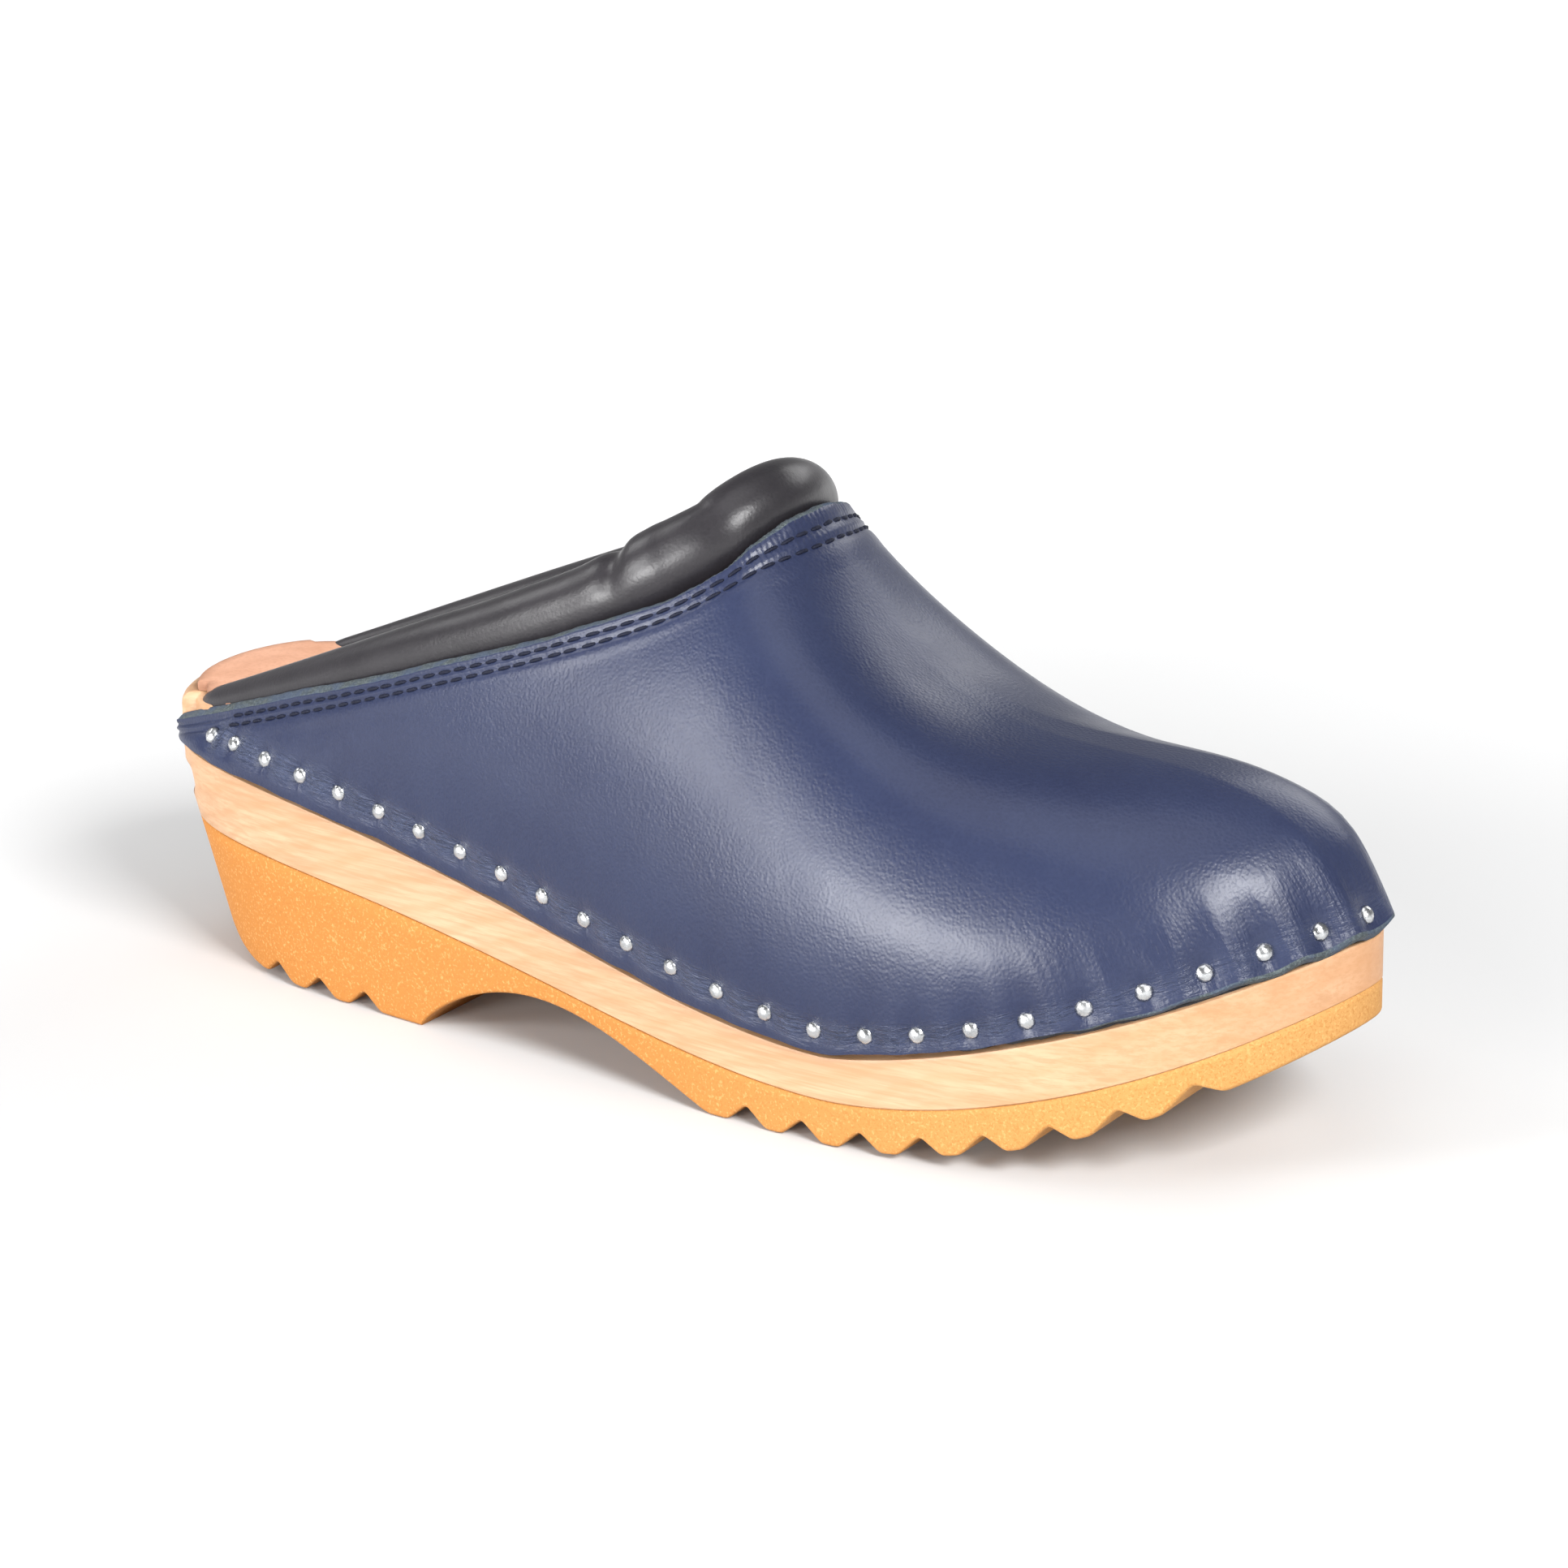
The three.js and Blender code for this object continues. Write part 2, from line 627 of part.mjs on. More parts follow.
function liningSolid() {
  const layer = (depth) => EDGE_STATIONS.map((s) => [
    liningFoot(s, depth),
    ...RIB_STATIONS.slice(1, -2).map((v) => upperPoint(s, v, depth)),
  ]);
  return toSolid(sheetBody(layer(LINING_OUTSIDE), layer(LINING_INSIDE)));
}

function collarRadius(s) {
  const fromEnd = clamp01((1 - Math.abs(s)) / COLLAR_TAPER);
  return mix(COLLAR_END_RADIUS, COLLAR_RADIUS, smooth(fromEnd ** 0.8));
}

// Level direction from the topline into the shoe.
function intoShoe(s) {
  const step = 0.01;
  const along = topRow(s + step).sub(topRow(s - step));
  return new THREE.Vector3(-along.y, along.x, 0).normalize();
}

// Middle line of the collar roll, which sits inside the topline and stands up above it.
function collarCentre(s) {
  const radius = collarRadius(s);
  return topRow(s)
    .addScaledVector(intoShoe(s), LEATHER_THICKNESS + GAP + radius)
    .add(new THREE.Vector3(0, 0, radius * COLLAR_LIFT));
}

// Rings round the collar roll; a shrink makes them smaller than the roll.
function collarRings(shrink) {
  const step = 0.01;
  return stations(-1, 1, COLLAR_STEPS).map((t) => {
    const s = COLLAR_END * t * mix(COLLAR_CROWDING, 1, t * t);
    const radius = collarRadius(s) - shrink;
    const along = collarCentre(s + step).sub(collarCentre(s - step)).normalize();
    const side = intoShoe(s);
    const rise = new THREE.Vector3().crossVectors(along, side).normalize();
    side.crossVectors(rise, along);
    return stations(0, 2 * Math.PI, COLLAR_SIDES).slice(0, -1).map((angle) => collarCentre(s)
      .addScaledVector(side, radius * Math.cos(angle))
      .addScaledVector(rise, radius * Math.sin(angle)));
  });
}

const collarSolid = () => toSolid(sweptBody(collarRings(0), collarRings(COLLAR_SKIN)));
const collarFoamSolid = () => toSolid(sweptBody(collarRings(COLLAR_SKIN + GAP)));
const collarSpaceSolid = () => toSolid(sweptBody(collarRings(-GAP)));

// A row of stitching lies on the upper at a set distance below the topline.
function stitchRow(below) {
  const points = stations(-STITCH_END, STITCH_END, STITCH_STEPS).map((s) => {
    const v = 1 - below / ribLength(s);
    return upperPoint(s, v, THREAD_GAP + THREAD_DIAMETER / 2);
  });
  const section = new THREE.Shape(stations(0, 2 * Math.PI, 5).slice(0, -1).map((angle) => new THREE.Vector2(
    (THREAD_DIAMETER / 2) * Math.cos(angle),
    (THREAD_DIAMETER / 2) * Math.sin(angle),
  )));
  const path = new THREE.CatmullRomCurve3(points);
  const options = { steps: STITCH_STEPS, bevelEnabled: false, extrudePath: path };
  return toSolid(new THREE.ExtrudeGeometry(section, options));
}

// ---------------------------------------------------------------- nails

// Places of the nails as s values: evenly spaced round the edge, with one more close to each heel end.
function nailStations() {
  const outer = stations(-NAILS_FROM, 0, NAILS_OUTER_SIDE - 2);
  const inner = stations(0, NAILS_FROM, NAILS_INNER_SIDE - 1).slice(1);
  return [-END_NAIL, ...outer, ...inner, END_NAIL];
}

// A nail's seat on the leather and the turn that points its head outwards. Nails never run upwards into
// the wood, so that their shanks stay below the footbed.
function nailPlace(s) {
  const height = mix(NAIL_ABOVE_EDGE.toe, NAIL_ABOVE_EDGE.side, clamp01(Math.abs(s) * 2));
  const v = Math.min(height / ribLength(s), 0.5);
  const out = upperFrame(s, v).out;
  out.z = Math.max(out.z, 0);
  const turn = new THREE.Quaternion().setFromUnitVectors(new THREE.Vector3(0, 1, 0), out.normalize());
  return { seat: upperPoint(s, v, 0), turn };
}

function nailGeometry() {
  const head = NAIL_HEAD_DIAMETER / 2;
  const shank = NAIL_SHANK_DIAMETER / 2;
  const profile = [
    [0, -NAIL_LENGTH],
    [shank, NAIL_POINT_LENGTH - NAIL_LENGTH],
    [shank, 0],
    [head, 0],
    [head * NAIL_DOME.radiusShare, NAIL_HEAD_HEIGHT * NAIL_DOME.heightShare],
    [0, NAIL_HEAD_HEIGHT],
  ];
  const points = profile.map(([r, y]) => new THREE.Vector2(r, y + NAIL_SEAT_GAP));
  const nail = new THREE.LatheGeometry(points, NAIL_SIDES);
  return mergeVertices(nail.deleteAttribute("normal").deleteAttribute("uv"), 1e-4);
}

// The holes for the shanks, through the leather and lining and into the wood.
function nailHoles() {
  const radius = NAIL_SHANK_DIAMETER / 2 + HOLE_GAP;
  const length = NAIL_LENGTH + HOLE_GAP + NAIL_HEAD_DIAMETER;
  return nailStations().map((s) => {
    const { seat, turn } = nailPlace(s);
    const hole = new THREE.CylinderGeometry(radius, radius, length, HOLE_SIDES);
    hole.translate(0, NAIL_HEAD_DIAMETER - length / 2, 0).applyQuaternion(turn);
    return toSolid(hole.translate(seat.x, seat.y, seat.z));
  });
}

// ---------------------------------------------------------------- assembly

function look(color, roughness, metalness = 0) {
  return new THREE.MeshStandardMaterial({ color, roughness, metalness });
}
const WOOD = look("#f3d0a2", 0.55);
const OUTSOLE_RUBBER = look("#e9a94e", 0.85);
const INSOLE_LEATHER = look("#dca27c", 0.7);
const NAVY_LEATHER = look("#2e3a63", 0.4);
const BLACK_LINING = look("#1d1d20", 0.8);
const BLACK_LEATHER = look("#2a272b", 0.45);
const FOAM = look("#c9c4b4", 0.95);
const NAVY_THREAD = look("#1b2038", 0.7);
const NAIL_STEEL = look("#c4c9cf", 0.3, 1);

const clog = new THREE.Group();

function add(name, geometry, material) {
  const mesh = new THREE.Mesh(geometry, material);
  mesh.name = name;
  clog.add(mesh);
  return mesh;
}

const drill = (solid, holes) => holes.reduce((rest, hole) => rest.subtract(hole), solid);
const holes = nailHoles();
const collarSpace = collarSpaceSolid();

add("wooden_sole", toGeometry(drill(woodenSoleSolid(), holes).subtract(collarSpace)), WOOD);
add("outsole", toGeometry(outsoleSolid()), OUTSOLE_RUBBER);
add("insole", toGeometry(insoleSolid().subtract(collarSpace)), INSOLE_LEATHER);
add("upper", toGeometry(drill(upperSolid(), holes)), NAVY_LEATHER);
add("lining", toGeometry(drill(liningSolid(), holes)), BLACK_LINING);
add("collar_leather", toGeometry(collarSolid()), BLACK_LEATHER);
add("collar_foam", toGeometry(collarFoamSolid()), FOAM);
STITCH_ROWS.forEach((below, i) => add(`stitch_row_${i + 1}`, toGeometry(stitchRow(below)), NAVY_THREAD));
nailStations().forEach((s, i) => {
  const { seat, turn } = nailPlace(s);
  const nail = add(`nail_${String(i + 1).padStart(2, "0")}`, nailGeometry(), NAIL_STEEL);
  nail.position.copy(seat);
  nail.quaternion.copy(turn);
});

// The origin is under the middle of the clog, on the floor.
const box = new THREE.Box3().setFromObject(clog, true);
clog.position.set(-(box.min.x + box.max.x) / 2, -(box.min.y + box.max.y) / 2, -box.min.z);

export default clog;
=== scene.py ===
"""A wooden clog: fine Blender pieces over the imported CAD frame.

The frame is in metres: +X runs to the toe, +Y to the inner side of the foot, +Z up. The shapes below are
worked out in millimetres in the sole's own frame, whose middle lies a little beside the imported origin.
"""
import math

import bpy
import numpy as np
from mathutils import Matrix, Vector


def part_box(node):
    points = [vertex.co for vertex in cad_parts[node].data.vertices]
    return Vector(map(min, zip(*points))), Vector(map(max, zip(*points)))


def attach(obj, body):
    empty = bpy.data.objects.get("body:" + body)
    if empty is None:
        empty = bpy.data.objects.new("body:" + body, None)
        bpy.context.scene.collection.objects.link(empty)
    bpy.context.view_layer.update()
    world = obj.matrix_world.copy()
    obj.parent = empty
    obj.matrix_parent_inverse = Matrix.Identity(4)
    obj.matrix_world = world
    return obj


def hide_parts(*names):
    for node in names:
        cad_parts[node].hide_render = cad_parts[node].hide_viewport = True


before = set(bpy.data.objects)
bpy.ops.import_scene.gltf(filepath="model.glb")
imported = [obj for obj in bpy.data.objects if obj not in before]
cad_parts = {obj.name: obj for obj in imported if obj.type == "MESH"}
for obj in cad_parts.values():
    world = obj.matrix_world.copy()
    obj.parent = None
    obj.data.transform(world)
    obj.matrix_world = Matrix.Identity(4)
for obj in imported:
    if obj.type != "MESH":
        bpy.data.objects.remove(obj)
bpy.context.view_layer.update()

MM = 0.001

# The sole seen from above, and the heights of the lines along it at the heel, ball and toe
SOLE_LENGTH = 265.0
HEEL_WIDTH = 62.0
WAIST_WIDTH = 69.0
BALL_WIDTH = 91.0
OUTSOLE_TOP = (29.0, 8.7, 33.5, 1.7)
WOOD_SHOULDER = (45.0, 18.2, 43.5, 1.35)
FOOTBED = (54.0, 28.5, 52.0, 1.55)
TREAD = (0.0, 0.0, 27.2, 1.85)
HEEL_X = -SOLE_LENGTH / 2
BALL_SHARE = 0.669

# Outsole
HEEL_SLOPE = 0.25
HEEL_LEAN_FROM = 38.0
HEEL_TAPER = 2.4
HEEL_SPRING = 3.0
HEEL_TIP_RADIUS = 7.5
TREAD_EDGE_RADIUS = 0.8
TOP_BEVEL = 0.35
SOLE_GAP = 0.03
ARCH_HEIGHT = 12.7
ARCH_SHARES = (0.29, 0.568)
SPRING_SHARE = 0.23
NOTCH_PITCH = 12.5
NOTCH_DEPTH = 3.6
NOTCH_MOUTH = 8.0
HEEL_NOTCHES = (0.138, 3)
BALL_NOTCHES = (0.603, 8)

# Wood and insole
FOOT_BEVEL = 0.3
# Rings at the shoulder: drop below the nailed top, rise over the bare shoulder, and the two offsets
SHOULDER_RINGS = ((0.45, -3.5, 0, 0), (0.12, -1, -0.12, 0.15), (0, 1.5, -0.45, 0.2))
GROOVE_DEPTH = 2.6
GROOVE_DROP = 9.0
GROOVE_REACH = 15.0
RIM_RADIUS = 2.4
INSOLE_THICKNESS = 2.1
INSOLE_INSET = 2.2
# The insole's edge from foot to face: place outward, share of the thickness, how rubbed it is
INSOLE_EDGE = ((-1.0, 0, 1), (-0.1, 0.02, 1), (0, 0.3, 1), (0, 0.65, 1),
               (-0.2, 0.86, 0.9), (-0.6, 0.97, 0.6), (-1.4, 1, 0.3), (-3, 1, 0))

# Upper
THROAT_HEIGHT = 106.8
LEATHER_THICKNESS = 2.0
LINING_THICKNESS = 1.0
LINING_GAP = 0.12
LEATHER_PROUD = 1.2
LINING_SHOWS = 0.7
UPPER_START = 7.0
UPPER_END_HEIGHT = 4.5
GAP = 0.3
WOOD_GAP = 0.8

# Collar, nails and thread
COLLAR_RADIUS = 7.6
COLLAR_END_RADIUS = 3.3
COLLAR_LIFT = 0.25
COLLAR_TAPER = 0.42
COLLAR_END = 0.992
NAILS_OUTER_SIDE = 26
NAILS_INNER_SIDE = 21
NAILS_FROM = 0.915
END_NAIL = 0.945
NAIL_ABOVE_EDGE = (3.4, 6.4)
NAIL_HEAD_RADIUS = 1.7
NAIL_HEAD_HEIGHT = 1.25
NAIL_SKIRT = 0.55
NAIL_SIDES = 20
STITCH_ROWS = (2.2, 4.2)
STITCH_END = 0.93
STITCH_PITCH = 3.9
STITCH_LENGTH = 2.9
THREAD_RADIUS = 0.33
THREAD_SIDES = 8
STITCH_RINGS = 9

rng = np.random.default_rng(7)


# ---- curves

def smooth(value):
    value = np.clip(value, 0, 1)
    return value * value * (3 - 2 * value)


def mix(a, b, share):
    return a + (b - a) * share


def bell(offset, width):
    """1 where there is no offset, falling away over about the width."""
    return np.exp(-(offset / width) ** 2)


def running_sum(steps):
    return np.concatenate([[0], np.cumsum(steps)])


def circle(count):
    return np.linspace(0, 2 * math.pi, count + 1)[:-1]


def round_tube(side, rise, angle, wide=1):
    """Directions round a tube at each of its places."""
    across, up = np.cos(angle)[None, :, None], np.sin(angle)[None, :, None]
    return side[:, None] * across * wide + rise[:, None] * up


def arrays(s, v):
    return np.broadcast_arrays(np.asarray(s, float), np.asarray(v, float))


def spline(knots, values):
    """A natural cubic spline through values at knots."""
    knots = np.asarray(knots, float)
    values = np.asarray(values, float)
    gaps = np.diff(knots)
    system = np.eye(len(knots))
    right = np.zeros_like(values)
    for i in range(1, len(knots) - 1):
        system[i, i - 1:i + 2] = gaps[i - 1], 2 * (gaps[i - 1] + gaps[i]), gaps[i]
        right[i] = 6 * ((values[i + 1] - values[i]) / gaps[i] - (values[i] - values[i - 1]) / gaps[i - 1])
    bend = np.linalg.solve(system, right)

    def at(place):
        place = np.asarray(place, float)
        i = np.clip(np.searchsorted(knots, place) - 1, 0, len(gaps) - 1)
        span = gaps[i]
        b = (place - knots[i]) / span
        if values.ndim > 1:
            b = b[..., None]
            span = span[..., None]
        a = 1 - b
        curve = ((a ** 3 - a) * bend[i] + (b ** 3 - b) * bend[i + 1]) * span ** 2 / 6
        return a * values[i] + b * values[i + 1] + curve

    return at


def line_height(line, x):
    """Height of one of the sole's lines at x."""
    heel, ball, toe, toe_curve = line
    share = (x - HEEL_X) / SOLE_LENGTH
    to_heel = np.clip((BALL_SHARE - share) / BALL_SHARE, 0, 1) ** 0.88
    to_toe = np.clip((share - BALL_SHARE) / (1 - BALL_SHARE), 0, 1) ** toe_curve
    return ball + (heel - ball) * smooth(to_heel) + (toe - ball) * to_toe


def outline_points():
    """The sole's outline as control points: heel back, outer side, toe, inner side."""
    heel, waist, ball = HEEL_WIDTH / 2, WAIST_WIDTH / 2, BALL_WIDTH / 2
    points = [
        (0, 0),
        (0.026, -0.66 * heel),
        (0.105, -heel),
        (0.248, -mix(heel, waist, 1.15)),
        (0.406, -mix(waist, ball, 0.33)),
        (0.568, -0.95 * ball),
        (0.692, -0.98 * ball),
        (0.812, -0.91 * ball),
        (0.91, -0.71 * ball),
        (0.977, -0.34 * ball),
        (1, 0.02 * ball),
        (0.96, 0.37 * ball),
        (0.895, 0.69 * ball),
        (0.815, 0.91 * ball),
        (0.72, 1.01 * ball),
        (0.586, 0.92 * ball),
        (0.436, 0.94 * waist),
        (0.267, 0.9 * waist),
        (0.117, 0.98 * heel),
        (0.03, 0.66 * heel),
    ]
    return np.array([(HEEL_X + share * SOLE_LENGTH, y) for share, y in points])


def closed_curve(points, wrap=4, fine=4000):
    """A smooth closed curve by share of its length, and that length."""
    count = len(points)
    ring = points[np.arange(-wrap, count + wrap + 1) % count]
    knots = running_sum(np.hypot(*np.diff(ring, axis=0).T))
    curve = spline(knots, ring)
    places = np.linspace(knots[wrap], knots[wrap + count], fine + 1)
    travelled = running_sum(np.hypot(*np.diff(curve(places), axis=0).T))
    total = travelled[-1]
    return (lambda share: curve(np.interp(np.mod(share, 1) * total, travelled, places))), total


outline_at, OUTLINE_LENGTH = closed_curve(outline_points())


def outward_at(share):
    share = np.asarray(share, float)
    along = outline_at(share + 0.002) - outline_at(share - 0.002)
    along /= np.linalg.norm(along, axis=-1, keepdims=True)
    return np.stack([along[..., 1], -along[..., 0]], -1)


def find_share(start, end, test):
    """The first share of the outline from start to end at which a test holds."""
    shares = np.linspace(start, end, 2001)
    return shares[np.argmax(test(outline_at(shares)))]


UPPER_START_X = HEEL_X + UPPER_START
OUTER_END = find_share(0, 0.5, lambda p: p[:, 0] > UPPER_START_X)
INNER_END = find_share(1, 0.5, lambda p: p[:, 0] > UPPER_START_X)
TOE_SHARE = find_share(0.25, 0.75, lambda p: (p[:, 0] > -HEEL_X - 0.5) & (p[:, 1] > -2))


def edge_share(s):
    """The outline's share for s: -1 at the outer heel end, 0 at the toe, 1 at the inner heel end."""
    s = np.asarray(s, float)
    return np.where(s < 0, mix(TOE_SHARE, OUTER_END, -s), mix(TOE_SHARE, INNER_END, s))


# ---- the upper as a surface

# s; top as shares (x of the length, y of half the ball, z of the rise); rise off the sole; reach to the top
RIBS = [
    (-1, (0.027, -0.5, 0), (0, -0.3, 1.5), (0, -0.3, -1.5)),
    (-0.75, (0.286, -0.758, 0.391), (0, -2, 12), (0, -3, -11)),
    (-0.5, (0.496, -0.637, 0.736), (1, -6, 25), (3, -13, -21)),
    (-0.25, (0.556, -0.424, 0.927), (2, -5, 28), (26, -14, -32)),
    (0, (0.571, -0.06, 1), (-23, 0, 54), (41, 1, -67)),
    (0.25, (0.549, 0.363, 0.913), (1, 2, 24), (26, 9, -36)),
    (0.5, (0.487, 0.604, 0.717), (1, 5, 24), (3, 12, -21)),
    (0.75, (0.286, 0.692, 0.391), (0, 2, 12), (0, 3, -11)),
    (1, (0.027, 0.5, 0), (0, 0.3, 1.5), (0, 0.3, -1.5)),
]
RIB_KNOTS = [rib[0] for rib in RIBS]
LOWEST_TOP = float(line_height(WOOD_SHOULDER, UPPER_START_X)) + UPPER_END_HEIGHT
top_row = spline(RIB_KNOTS, [
    (HEEL_X + x * SOLE_LENGTH, y * BALL_WIDTH / 2, mix(LOWEST_TOP, THROAT_HEIGHT, z))
    for _, (x, y, z), _, _ in RIBS
])
rise_row = spline(RIB_KNOTS, [rib[2] for rib in RIBS])
reach_row = spline(RIB_KNOTS, [rib[3] for rib in RIBS])


def upper_edge(s):
    """Lower edge of the upper's outer face."""
    share = edge_share(s)
    place = outline_at(share) + outward_at(share) * LEATHER_PROUD
    return np.concatenate([place, line_height(WOOD_SHOULDER, place[..., :1])], -1)


def upper_face(s, v):
    """Outer face of the upper: v runs from 0 at the lower edge to 1 at the topline."""
    s, v = arrays(s, v)
    low = upper_edge(s)
    top = top_row(s)
    v = v[..., None]
    w = 1 - v
    inner = 3 * w * w * v * (low + rise_row(s)) + 3 * w * v * v * (top + reach_row(s))
    return w ** 3 * low + inner + v ** 3 * top


def unit(vectors):
    return vectors / np.linalg.norm(vectors, axis=-1, keepdims=True)


def upper_frame(s, v):
    """Directions out of the leather, along its edge and up across it."""
    step = 0.004
    along = unit(upper_face(s + step, v) - upper_face(s - step, v))
    rib = upper_face(s, v + step) - upper_face(s, v - step)
    out = unit(np.cross(along, rib))
    return out, along, np.cross(out, along)


def upper_point(s, v, depth):
    """A point over (or, if negative, under) the upper's outer face."""
    return upper_face(s, v) + upper_frame(s, v)[0] * np.asarray(depth, float)[..., None]


S_TABLE = np.linspace(-1, 1, 1601)
_ribs = upper_face(S_TABLE[:, None], np.linspace(0, 1, 25)[None, :])
_rib_lengths = np.linalg.norm(np.diff(_ribs, axis=1), axis=-1).sum(1)
_edge_travel = running_sum(np.linalg.norm(np.diff(_ribs[:, 0], axis=0), axis=-1))


def rib_length(s):
    return np.interp(s, S_TABLE, _rib_lengths)


def edge_travel(s):
    """Distance along the lower edge from the outer heel end, in millimetres."""
    return np.interp(s, S_TABLE, _edge_travel)


# ---- nails and folds of the leather

NAIL_S = np.concatenate([
    [-END_NAIL],
    np.linspace(-NAILS_FROM, 0, NAILS_OUTER_SIDE - 1),
    np.linspace(0, NAILS_FROM, NAILS_INNER_SIDE)[1:],
    [END_NAIL],
])
NAIL_HEIGHT = mix(NAIL_ABOVE_EDGE[0], NAIL_ABOVE_EDGE[1], np.clip(np.abs(NAIL_S) * 2, 0, 1))
NAIL_V = np.minimum(NAIL_HEIGHT / rib_length(NAIL_S), 0.5)
NAIL_ALONG = edge_travel(NAIL_S)
NAIL_UP = NAIL_V * rib_length(NAIL_S)
PLEAT_SIZE = rng.uniform(0.75, 1.25, len(NAIL_S))
PLEAT_LEAN = rng.uniform(-0.12, 0.12, len(NAIL_S))


def nail_phase(along):
    """Counts the nails along the edge: whole numbers lie on nails, halves lie between them."""
    return np.interp(along, NAIL_ALONG, np.arange(len(NAIL_ALONG)))


def nearest_nail(phase):
    return np.clip(np.round(phase).astype(int), 0, len(NAIL_S) - 1)


def near_toe(s):
    """1 at the toe, falling to nearly nothing half way to the heel."""
    return bell(s, 0.3)


def wave_sum(place, waves):
    """A gentle uneven wave: the sum of a few sines."""
    return sum(size * np.sin(2 * math.pi * place / length + shift) for length, size, shift in waves)


def leather_relief(s, v):
    """How far the leather stands out of its smooth face, in millimetres."""
    s, v = arrays(s, v)
    length = rib_length(s)
    along = edge_travel(s)
    up = v * length
    from_top = (1 - v) * length
    phase = nail_phase(along)
    nearest = nearest_nail(phase)
    toe = near_toe(s)

    across = along - NAIL_ALONG[nearest]
    above = up - NAIL_UP[nearest]
    dimple = -0.75 * np.exp(-(across ** 2 + above ** 2) / 2.5 ** 2)

    over = np.maximum(above, 0)
    lean = PLEAT_LEAN[nearest] * over
    swing = np.cos(2 * math.pi * (phase - nearest) + lean)
    size = (0.2 + 0.34 * toe) * PLEAT_SIZE[nearest]
    fade = np.exp(-(over / (5 + 4 * toe)) ** 1.5) * np.where(above < 0, bell(above, 5), 1)
    pleats = -size * swing * fade

    flare = 0.6 * toe * np.exp(-up / 2.2) * (0.5 - 0.5 * np.cos(2 * math.pi * phase))
    flare += 0.3 * toe * np.exp(-up / 2.5)

    row_1, row_2 = (-0.34 * bell(from_top - below, 0.55) for below in STITCH_ROWS)
    top_along = along * 0.62
    puffs = 0.75 + 0.25 * np.cos(2 * math.pi * top_along / (STITCH_PITCH * 0.9))
    ridge = 0.12 * puffs * bell(from_top - np.mean(STITCH_ROWS), 0.5)
    swell = 0.14 * bell(from_top - STITCH_ROWS[1] - 1.9, 1.4)

    soft = 0.1 * np.sin(up / 9 + 1.3 * np.sin(along / 17)) * smooth(up / 20) * smooth(from_top / 20)
    full = 1.7 * bell(s - 0.08, 0.15) * bell(up - 17, 12)
    return dimple + pleats + flare + row_1 + row_2 + ridge + swell + soft + full


def edge_wobble(s):
    """Uneven cut of the lower edge, as a height in millimetres."""
    along = edge_travel(s)
    toe = bell(s, 0.28)
    uneven = wave_sum(along, [(31, 0.16, 0.4), (17, 0.1, 1.9), (7.3, 0.05, 0.7)])
    scallop = -0.45 * toe * np.cos(2 * math.pi * nail_phase(along))
    return uneven + scallop - 0.35 * toe


def upper_skin(s, v):
    """The worked outer face, with its relief and its uneven cut edges."""
    s, v = arrays(s, v)
    points = upper_point(s, v, leather_relief(s, v))
    points[..., 2] += edge_wobble(s) * bell(v * rib_length(s), 2.5)
    wave = wave_sum(edge_travel(s), [(43, 0.12, 2.0), (19, 0.06, 0.3), (5.1, 0.04, 1.0)])
    points[..., 2] += wave * bell((1 - v) * rib_length(s), 3) * smooth((1 - np.abs(s)) / 0.1)
    return points


# ---- meshes

def shift_to_frame():
    """Where the middle of the sole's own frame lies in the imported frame."""
    low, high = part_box("wooden_sole")
    ring = outline_at(np.linspace(0, 1, 2000))
    x = (low.x + high.x) / 2 / MM - (ring[:, 0].min() + ring[:, 0].max()) / 2
    y = (low.y + high.y) / 2 / MM - (ring[:, 1].min() + ring[:, 1].max()) / 2
    return np.array([x, y, 0.0])


SHIFT = shift_to_frame()


def add_mesh(name, points, faces, materials, face_materials=None, sharp=None):
    """A mesh object from points in the sole's frame, smooth-shaded."""
    mesh = bpy.data.meshes.new(name)
    mesh.from_pydata(((np.asarray(points).reshape(-1, 3) + SHIFT) * MM).tolist(), [], faces)
    for material in materials:
        mesh.materials.append(material)
    if face_materials is not None:
        mesh.polygons.foreach_set("material_index", np.asarray(face_materials, np.int32))
    mesh.polygons.foreach_set("use_smooth", np.ones(len(mesh.polygons), bool))
    if sharp is not None:
        mesh.set_sharp_from_angle(angle=math.radians(sharp))
    mesh.validate()
    mesh.update()
    obj = bpy.data.objects.new(name, mesh)
    bpy.context.scene.collection.objects.link(obj)
    return obj


def add_attribute(obj, name, values):
    obj.data.attributes.new(name, "FLOAT", "POINT").data.foreach_set("value", np.ravel(values))


def grid_faces(rows, columns, start=0, closed=False):
    """Quads of a grid of points, row by row; closed joins the last column to the first."""
    faces = []
    reach = columns if closed else columns - 1
    for r in range(rows - 1):
        for c in range(reach):
            n = (c + 1) % columns
            a = start + r * columns
            b = a + columns
            faces.append((a + c, a + n, b + n, b + c))
    return faces


def end_caps(rows, columns, start=0):
    """The two faces that close a stack of rings."""
    last = start + (rows - 1) * columns
    return [tuple(range(start, start + columns)), tuple(range(last + columns - 1, last - 1, -1))]


# ---- upper and lining

EDGE_COLUMNS = 960
BACK_ROWS = 18
CUT_STEPS = (0.12, 0.5, 0.85)
EDGES = np.array([0.0, 1.0])


def low_cut(s):
    """How high the slanting lower cut edge climbs, in millimetres: most at the toe."""
    return 0.4 + 0.9 * bell(s, 0.35)


def top_cut(s):
    """How far the topline's cut edge slants either way, in millimetres: least at the throat."""
    return 0.85 - 0.5 * bell(s, 0.33)


